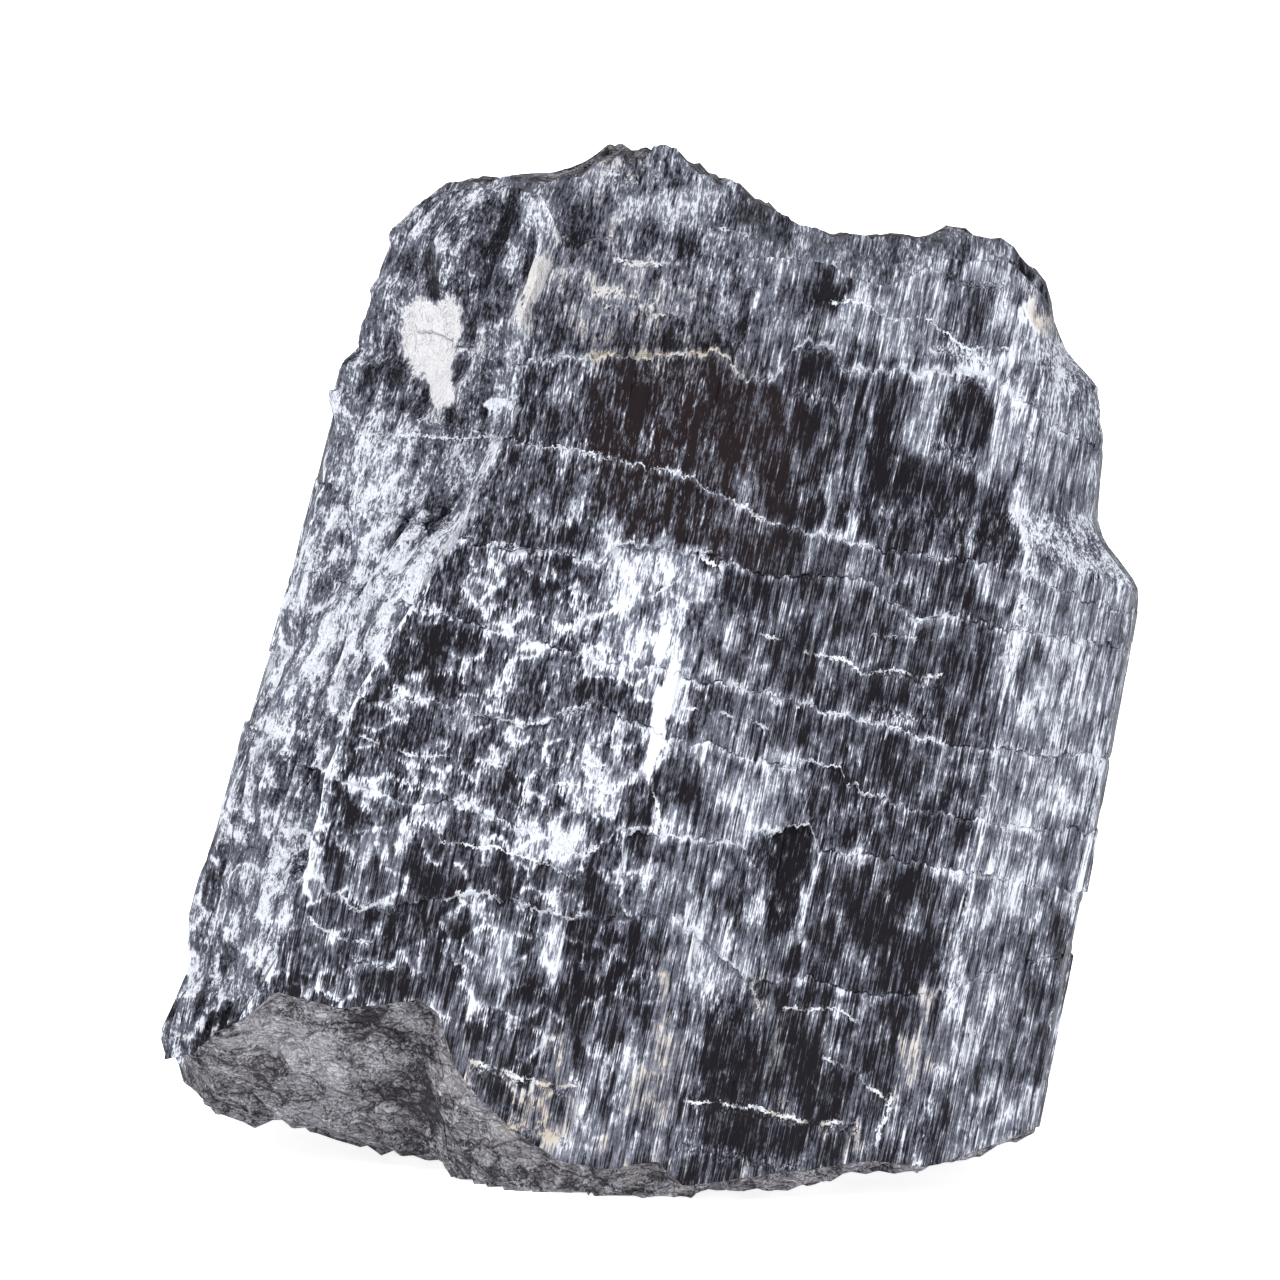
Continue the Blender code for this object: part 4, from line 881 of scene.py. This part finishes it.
look = {
    "blueBlack": (0.005, 0.0045, 0.0075, 1.0),
    "brownBlack": (0.012, 0.007, 0.008, 1.0),
    "film": (0.182, 0.19, 0.24, 1.0),
    "brokenGround": (0.040, 0.036, 0.044, 1.0),
    # grey film of the breaks, made paler to paint light onto the down-facing lower break
    "brokenFilmAndPaintedLight": (0.40, 0.385, 0.42, 1.0),
    "white": (0.68, 0.71, 0.78, 1.0),
    "beige": (0.50, 0.42, 0.33, 1.0),
    "specular": 0.1,
    "skinRoughness": (0.34, 0.8),  # bare, under dust
    "brokenRoughness": (0.38, 0.75),
    # noise in the crystal's own millimetres: size across, size along the long axis, detail
    "noise": {"Furrow": (0.26, 3.4, 2.0), "Fine": (0.11, 0.55, 2.0), "Speck": (0.17, 0.22, 2.0),
              "Clump": (1.3, 1.8, 4.0), "Long": (0.085, 1.8, 2.0)},
    "noiseRoughness": 0.6,
    # shares of each noise in what holds dust: where furrowed, where torn, and what marks add
    "lined": {"Fine": 0.40, "Furrow": 0.26, "Speck": 0.12, "Clump": 0.22},
    "grainy": {"Clump": 0.38, "Speck": 0.20, "Fine": 0.28, "Furrow": 0.14},
    "held": {"Edge": 0.04, "Shelf": 0.10, "Net": 0.10},
    # level added by dust, before it and in all; then where film and white start and are full
    "filmLift": (0.21, -0.09),
    "whiteLift": (0.14, -0.064),
    "filmRange": (0.42, 0.60),
    "whiteRange": (0.535, 0.612),
    "threadRange": (0.024, 0.006),  # white threads at the walls of furrows: nearness, then where they crowd
    "threadDust": 0.30,
    "threadCrowd": (0.62, 0.80),
    "threadWhite": 0.8,
    # crack lines: how far they wander, how their width swells, and where they break up
    "crackWander": (0.7, -0.35),
    "crackSwell": ({"Clump": 4.0, "Fine": 2.2}, -2.5),
    "crackLeast": 0.01,
    "crackSolid": 0.36,
    "crackPatchy": (0.64, 0.84),
    # net of fine cracks: push of the noise, cells per millimetre, width, and which clumps have it
    "netFine": 0.9,
    "netPush": (0.8, 0.8, 1.2),
    "netScale": (0.50, 0.50, 0.58),
    "netWidth": (0.13, 0.0),
    "netClumps": (0.42, 0.58),
    # chips of the breaks: push of the noise, size and rise of each layer, squeeze along the long axis
    "chipPush": (1.8, 1.8, 1.2),
    "chipLayers": ((2.6, 1.6), (0.8, 0.6)),
    "chipSqueeze": 1.8,
    "chipCrease": (0.09, 0.0),
    "chipStep": 0.1,
    "chipTone": 0.5,
    # long streaks on the right and near the bottom: where they start, in mm, and how clumps move that line
    "streakRight": (14.0, 6.0, 12.0),
    "streakBottom": (8.0, -6.0, -12.0),
    # where the net shows: from, to, least, most, over u and over w
    "netOverU": (8.0, -4.0, 0.35, 1.0),
    "netOverW": (9.0, 2.0, 0.25, 1.0),
    # heights that feed the bumps
    "bumpLined": {"Fine": 0.04, "Furrow": 0.07},
    "bumpTorn": {"Clump": 1.3, "Speck": 0.16},
    "bumpWhite": 0.015,
    "bumpLine": -0.05,
    "bumpBroken": {"Clump": 0.9, "Speck": 0.12},
    "bumpChips": 1.5,
    "bumpScale": 0.001,
    # dull film on the breaks
    "breakFilm": ({"Clump": 1.0, "Speck": 1.3}, -1.8),
    "breakTone": 0.9,
    "breakDusty": 1.3,
    "breakCrease": -0.5,
    "breakWhite": 0.45,
}


# value on a socket: another node's socket is linked, anything else is typed in
def fill(tree, socket, value):
    if isinstance(value, bpy.types.NodeSocket):
        tree.links.new(value, socket)
    else:
        socket.default_value = value


# node with its settings and inputs filled in
def put(tree, kind, inputs=None, **settings):
    node = tree.nodes.new("ShaderNode" + kind)
    for name, value in settings.items():
        setattr(node, name, value)
    for name, value in (inputs or {}).items():
        fill(tree, node.inputs[name], value)
    return node


# one step of arithmetic on sockets or numbers
def calc(tree, operation, *values, clamp=False):
    return put(tree, "Math", dict(enumerate(values)), operation=operation, use_clamp=clamp).outputs[0]


# a start value plus each named socket times its weight
def weigh(tree, sockets, weights, start=0.0):
    for name, weight in weights.items():
        start = calc(tree, "MULTIPLY_ADD", sockets[name], weight, start)
    return start


# s-curve from least to most as the value goes from low to high
def ramp(tree, value, low, high, least=0.0, most=1.0):
    inputs = {"Value": value, "From Min": low, "From Max": high, "To Min": least, "To Max": most}
    return put(tree, "MapRange", inputs, interpolation_type="SMOOTHSTEP").outputs["Result"]


# number between two, by a share from 0 to 1
def between(tree, share, first, second):
    return put(tree, "Mix", {"Factor": share, 2: first, 3: second}).outputs[0]


# colour between two, by a share from 0 to 1
def blend(tree, share, first, second):
    return put(tree, "Mix", {"Factor": share, 6: first, 7: second}, data_type="RGBA").outputs[2]


# vector times or plus another, part by part
def vectorCalc(tree, operation, first, second):
    return put(tree, "VectorMath", {0: first, 1: second}, operation=operation).outputs[0]


# one of the mesh's vector attributes
def readVector(tree, name):
    return put(tree, "Attribute", attribute_name=name).outputs["Vector"]


# the three parts of a vector
def threeOf(tree, vector):
    return put(tree, "SeparateXYZ", {"Vector": vector}).outputs


# group with one input for each entry: a vector where its value is None, otherwise a number that starts there
def newGroup(name, inputs):
    group = bpy.data.node_groups.new(name, "ShaderNodeTree")
    for label, value in inputs.items():
        kind = "NodeSocketVector" if value is None else "NodeSocketFloat"
        socket = group.interface.new_socket(label, in_out="INPUT", socket_type=kind)
        if value is not None:
            socket.default_value = value
    return group, group.nodes.new("NodeGroupInput").outputs


# the group, with one number put out for each entry
def closeGroup(group, outputs):
    for label in outputs:
        group.interface.new_socket(label, in_out="OUTPUT", socket_type="NodeSocketFloat")
    end = group.nodes.new("NodeGroupOutput")
    for label, value in outputs.items():
        fill(group, end.inputs[label], value)
    return group


# outputs of a group placed in a tree with its inputs filled in
def useGroup(tree, group, inputs):
    return put(tree, "Group", inputs, node_tree=group).outputs


# noise in the crystal's own millimetres: place over size, across and along the long axis
def grownNoise(tree, grown, across, lengthwise, detail):
    place = vectorCalc(tree, "MULTIPLY", grown, (1.0 / across, 1.0 / across, 1.0 / lengthwise))
    inputs = {"Vector": place, "Scale": 1.0, "Detail": detail, "Roughness": look["noiseRoughness"]}
    return put(tree, "TexNoise", inputs).outputs["Fac"]


# furrows, finer furrows, specks, clumps and long streaks
def furrowGroup():
    group, given = newGroup("furrows", {"Grown": None})
    noises = {name: grownNoise(group, given["Grown"], *sizes) for name, sizes in look["noise"].items()}
    return closeGroup(group, noises)


# dust held by furrows, or by grain where torn: noise against a threshold that falls as the level of dust with
# painted light and shade rises, and thin white threads where the furrow noise crosses its middle
def dustAndShadingGroup():
    group, given = newGroup("dustAndShadingCover", {"Furrow": 0.5, "Fine": 0.5, "Speck": 0.5, "Clump": 0.5, "DustAndShading": 0.3,
                                          "Torn": 0.0, "Edge": 0.0, "Shelf": 0.0, "Net": 0.0})
    lined, grainy = weigh(group, given, look["lined"]), weigh(group, given, look["grainy"])
    level = weigh(group, given, look["held"], between(group, given["Torn"], lined, grainy))
    covers = []
    for lift, reach in (("filmLift", "filmRange"), ("whiteLift", "whiteRange")):
        lifted = calc(group, "ADD", level, calc(group, "MULTIPLY_ADD", given["DustAndShading"], *look[lift]))
        covers.append(ramp(group, lifted, *look[reach]))
    film, white = covers
    wall = calc(group, "ABSOLUTE", calc(group, "SUBTRACT", given["Furrow"], 0.5))
    wall = ramp(group, wall, *look["threadRange"])
    crowd = calc(group, "MULTIPLY_ADD", given["DustAndShading"], look["threadDust"], given["Clump"])
    crowd = ramp(group, crowd, *look["threadCrowd"])
    kept = calc(group, "SUBTRACT", 1.0, given["Torn"], clamp=True)
    kept = calc(group, "MULTIPLY", kept, look["threadWhite"])
    thread = calc(group, "MULTIPLY", calc(group, "MULTIPLY", wall, crowd), kept)
    return closeGroup(group, {"Film": film, "White": calc(group, "MAXIMUM", white, thread)})


# white line along a crack: nearer than its width, broken up by specks and clumps
def crackGroup():
    group, given = newGroup("crackLine", {"Layer": None, "Speck": 0.5, "Fine": 0.5, "Clump": 0.5})
    offset, strength, width = threeOf(group, given["Layer"])
    wander = calc(group, "MULTIPLY_ADD", given["Speck"], *look["crackWander"])
    away = calc(group, "ABSOLUTE", calc(group, "ADD", offset, wander))
    swell = weigh(group, given, *look["crackSwell"])
    width = calc(group, "MAXIMUM", calc(group, "MULTIPLY", width, swell), look["crackLeast"])
    near = calc(group, "SUBTRACT", 1.0, calc(group, "DIVIDE", away, width), clamp=True)
    patchy = calc(group, "MULTIPLY_ADD", strength, look["crackSolid"], given["Clump"])
    patchy = ramp(group, patchy, *look["crackPatchy"])
    return closeGroup(group, {"Line": calc(group, "MULTIPLY", ramp(group, near, 0.0, 0.5), patchy)})


# distance to the edges between cells scattered about the place
def cellGap(tree, place):
    inputs = {"Vector": place, "Scale": 1.0}
    return put(tree, "TexVoronoi", inputs, feature="DISTANCE_TO_EDGE").outputs["Distance"]


# net of fine cracks: nearness to the edges between cells, kept where clumps are
def netGroup():
    group, given = newGroup("crackNet", {"Grown": None, "Clump": 0.5, "Fine": 0.5, "Weight": 0.0})
    wander = calc(group, "MULTIPLY_ADD", given["Fine"], look["netFine"], given["Clump"])
    push = vectorCalc(group, "MULTIPLY", wander, look["netPush"])
    place = vectorCalc(group, "MULTIPLY", vectorCalc(group, "ADD", given["Grown"], push), look["netScale"])
    near = calc(group, "MULTIPLY", ramp(group, cellGap(group, place), *look["netWidth"]),
                ramp(group, given["Clump"], *look["netClumps"]))
    return closeGroup(group, {"Net": calc(group, "MULTIPLY", near, given["Weight"])})


# chipped break: height of chips with creases between them, the creases, and each chip's own tone
def chipGroup():
    group, given = newGroup("chips", {"Grown": None, "Clump": 0.5})
    push = vectorCalc(group, "MULTIPLY", given["Clump"], look["chipPush"])
    place = vectorCalc(group, "ADD", given["Grown"], push)
    height, crease, tone = 0.0, 0.0, 0.0
    for size, rise in look["chipLayers"]:
        chip = vectorCalc(group, "MULTIPLY", place, (1.0 / size, 1.0 / size, look["chipSqueeze"] / size))
        gap = cellGap(group, chip)
        own = put(group, "TexVoronoi", {"Vector": chip, "Scale": 1.0}).outputs["Color"]
        red, green, _ = threeOf(group, own)
        height = calc(group, "MULTIPLY_ADD", gap, rise, height)
        height = calc(group, "MULTIPLY_ADD", green, look["chipStep"] * rise, height)
        crease = calc(group, "MAXIMUM", crease, ramp(group, gap, *look["chipCrease"]))
        tone = calc(group, "MULTIPLY_ADD", red, look["chipTone"], tone)
    return closeGroup(group, {"Height": height, "Crease": crease, "Tone": tone})


# new material: itself, its tree, the crystal's own millimetres and the noises in them
def startMaterial(name, groups):
    material = bpy.data.materials.new(name)
    material.use_nodes = True
    tree = material.node_tree
    grown = readVector(tree, "grown")
    return material, tree, grown, useGroup(tree, groups["furrows"], {"Grown": grown})


# colour, roughness and bumps put on the material's shader
def finishMaterial(material, colour, roughness, height):
    tree = material.node_tree
    inputs = {"Strength": 1.0, "Distance": look["bumpScale"], "Height": height}
    values = {"Base Color": colour, "Roughness": roughness, "Specular IOR Level": look["specular"],
              "Normal": put(tree, "Bump", inputs).outputs["Normal"]}
    for name, value in values.items():
        fill(tree, tree.nodes["Principled BSDF"].inputs[name], value)
    return material


# striated prism faces: black, under a film and a cover of dust with painted light and shade in its level,
# with white cracks
def skinMaterial(groups):
    material, tree, grown, field = startMaterial("striatedTourmaline", groups)
    across, _, upwards = threeOf(tree, grown)
    dustAndShading, shelf, edge = threeOf(tree, readVector(tree, "coat"))
    beige, brown, torn = threeOf(tree, readVector(tree, "tone"))
    streaks = []
    for place, (sway, *reach) in ((across, look["streakRight"]), (upwards, look["streakBottom"])):
        streaks.append(ramp(tree, calc(tree, "MULTIPLY_ADD", field["Clump"], sway, place), *reach))
    fine = between(tree, calc(tree, "MAXIMUM", *streaks), field["Fine"], field["Long"])
    grain = {"Speck": field["Speck"], "Fine": fine, "Clump": field["Clump"]}
    overU, overW = ramp(tree, across, *look["netOverU"]), ramp(tree, upwards, *look["netOverW"])
    weight = calc(tree, "MULTIPLY", overU, overW)
    inputs = {"Grown": grown, "Clump": field["Clump"], "Fine": fine, "Weight": weight}
    net = useGroup(tree, groups["net"], inputs)["Net"]
    inputs = {"Furrow": field["Furrow"], "DustAndShading": dustAndShading, "Torn": torn, "Edge": edge, "Shelf": shelf, "Net": net}
    cover = useGroup(tree, groups["dustAndShading"], {**grain, **inputs})
    line = 0.0
    for name in marks["crackLayers"]:
        inputs = {"Layer": readVector(tree, name), **grain, "Fine": field["Fine"]}
        single = useGroup(tree, groups["crack"], inputs)["Line"]
        line = calc(tree, "MAXIMUM", line, single)
    white = calc(tree, "MAXIMUM", cover["White"], line)
    ground = blend(tree, brown, look["blueBlack"], look["brownBlack"])
    colour = blend(tree, cover["Film"], ground, look["film"])
    colour = blend(tree, white, colour, blend(tree, beige, look["white"], look["beige"]))
    lined = weigh(tree, {**grain, "Furrow": field["Furrow"]}, look["bumpLined"])
    height = between(tree, torn, lined, weigh(tree, grain, look["bumpTorn"]))
    height = calc(tree, "MULTIPLY_ADD", cover["White"], look["bumpWhite"], height)
    height = calc(tree, "MULTIPLY_ADD", line, look["bumpLine"], height)
    covered = calc(tree, "MAXIMUM", cover["Film"], white)
    return finishMaterial(material, colour, ramp(tree, covered, 0.0, 1.0, *look["skinRoughness"]), height)


# rough breaks: duller, with chips and grain instead of furrows
def brokenMaterial(groups):
    material, tree, grown, field = startMaterial("brokenTourmaline", groups)
    dustAndShading = threeOf(tree, readVector(tree, "coat"))[0]
    beige = threeOf(tree, readVector(tree, "tone"))[0]
    inputs = {name: field[name] for name in ("Furrow", "Fine", "Speck", "Clump")}
    cover = useGroup(tree, groups["dustAndShading"], {**inputs, "DustAndShading": dustAndShading, "Torn": 1.0})
    chips = useGroup(tree, groups["chips"], {"Grown": grown, "Clump": field["Clump"]})
    film = weigh(tree, field, *look["breakFilm"])
    film = calc(tree, "MULTIPLY_ADD", chips["Tone"], look["breakTone"], film)
    film = calc(tree, "MULTIPLY_ADD", dustAndShading, look["breakDusty"], film)
    film = calc(tree, "MULTIPLY_ADD", chips["Crease"], look["breakCrease"], film, clamp=True)
    # break grey, with painted light from below in its pale film
    colour = blend(tree, film, look["brokenGround"], look["brokenFilmAndPaintedLight"])
    white = calc(tree, "MULTIPLY", cover["White"], look["breakWhite"])
    colour = blend(tree, white, colour, blend(tree, beige, look["white"], look["beige"]))
    height = weigh(tree, field, look["bumpBroken"])
    height = calc(tree, "MULTIPLY_ADD", chips["Height"], look["bumpChips"], height)
    roughness = ramp(tree, cover["Film"], 0.0, 1.0, *look["brokenRoughness"])
    return finishMaterial(material, colour, roughness, height)


for old in list(bpy.data.objects):
    if old.type in {"CAMERA", "LIGHT"}:
        bpy.data.objects.remove(old, do_unlink=True)

groups = {"furrows": furrowGroup(), "dustAndShading": dustAndShadingGroup(), "crack": crackGroup(), "net": netGroup(),
          "chips": chipGroup()}
tourmaline = crystalObject(skinMaterial(groups), brokenMaterial(groups))
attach(tourmaline, "root")
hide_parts("tourmaline_crystal")
print("crystal built:", len(tourmaline.data.vertices), "points")


studio = {
    "floorSize": 6.0,  # metres
    "floorColour": (0.95, 0.95, 0.95, 1.0),
    "floorRoughness": 0.9,
    "floorGlow": 0.85,
    "skyColour": (0.94, 0.97, 1.0, 1.0),
    "skyStrength": 0.72,
    "sunStrength": 2.1,
    "sunSpread": 24.0,  # degrees
    "sunTurn": (46.0, 0.0, -36.0),
    "cameraRise": 8.0,
    "cameraDistance": 0.450,
    "aim": (-0.00114, -0.018),
    "aimHeight": 0.0321,
    "frameWidth": 0.07296,  # metres across the picture at the aim point
    "sensorWidth": 36.0,  # millimetres
    "nearestSeen": 0.01,
}


# one square of glowing white paper, half a side each way from the middle
def studioFloor():
    half = studio["floorSize"] / 2.0
    corners = [(-half, -half, 0.0), (half, -half, 0.0), (half, half, 0.0), (-half, half, 0.0)]
    mesh = bpy.data.meshes.new("studio floor")
    mesh.from_pydata(corners, [], [(0, 1, 2, 3)])
    paper = bpy.data.materials.new("whitePaper")
    paper.use_nodes = True
    values = {"Base Color": studio["floorColour"], "Roughness": studio["floorRoughness"],
              "Emission Color": studio["floorColour"], "Emission Strength": studio["floorGlow"]}
    for name, value in values.items():
        paper.node_tree.nodes["Principled BSDF"].inputs[name].default_value = value
    mesh.materials.append(paper)
    floor = bpy.data.objects.new("studioFloor", mesh)
    bpy.context.scene.collection.objects.link(floor)
    return floor


# even sky all round, and one wide soft sun from the upper left
def softLight():
    sky = bpy.data.worlds.new("studioSky")
    sky.use_nodes = True
    background = sky.node_tree.nodes["Background"]
    background.inputs["Color"].default_value = studio["skyColour"]
    background.inputs["Strength"].default_value = studio["skyStrength"]
    bpy.context.scene.world = sky
    sun = bpy.data.lights.new("softSun", "SUN")
    sun.energy = studio["sunStrength"]
    sun.angle = math.radians(studio["sunSpread"])
    lamp = bpy.data.objects.new("softSun", sun)
    lamp.rotation_euler = [math.radians(angle) for angle in studio["sunTurn"]]
    bpy.context.scene.collection.objects.link(lamp)


# lens = sensor width x distance / picture width
def placeCamera():
    rise = math.radians(studio["cameraRise"])
    aimX, aimY = studio["aim"]
    distance = studio["cameraDistance"]
    lens = bpy.data.cameras.new("photoCamera")
    lens.sensor_width = studio["sensorWidth"]
    lens.lens = studio["sensorWidth"] * distance / studio["frameWidth"]
    lens.clip_start = studio["nearestSeen"]
    lens.dof.use_dof = False
    camera = bpy.data.objects.new("photoCamera", lens)
    back, up = distance * math.cos(rise), distance * math.sin(rise)
    camera.location = (aimX, aimY - back, studio["aimHeight"] + up)
    camera.rotation_euler = (math.radians(90.0) - rise, 0.0, 0.0)
    bpy.context.scene.collection.objects.link(camera)
    bpy.context.scene.camera = camera


floor = studioFloor()
softLight()
placeCamera()
bpy.context.scene.view_settings.view_transform = "Standard"
bpy.context.scene.view_settings.look = "None"
print("studio ready")
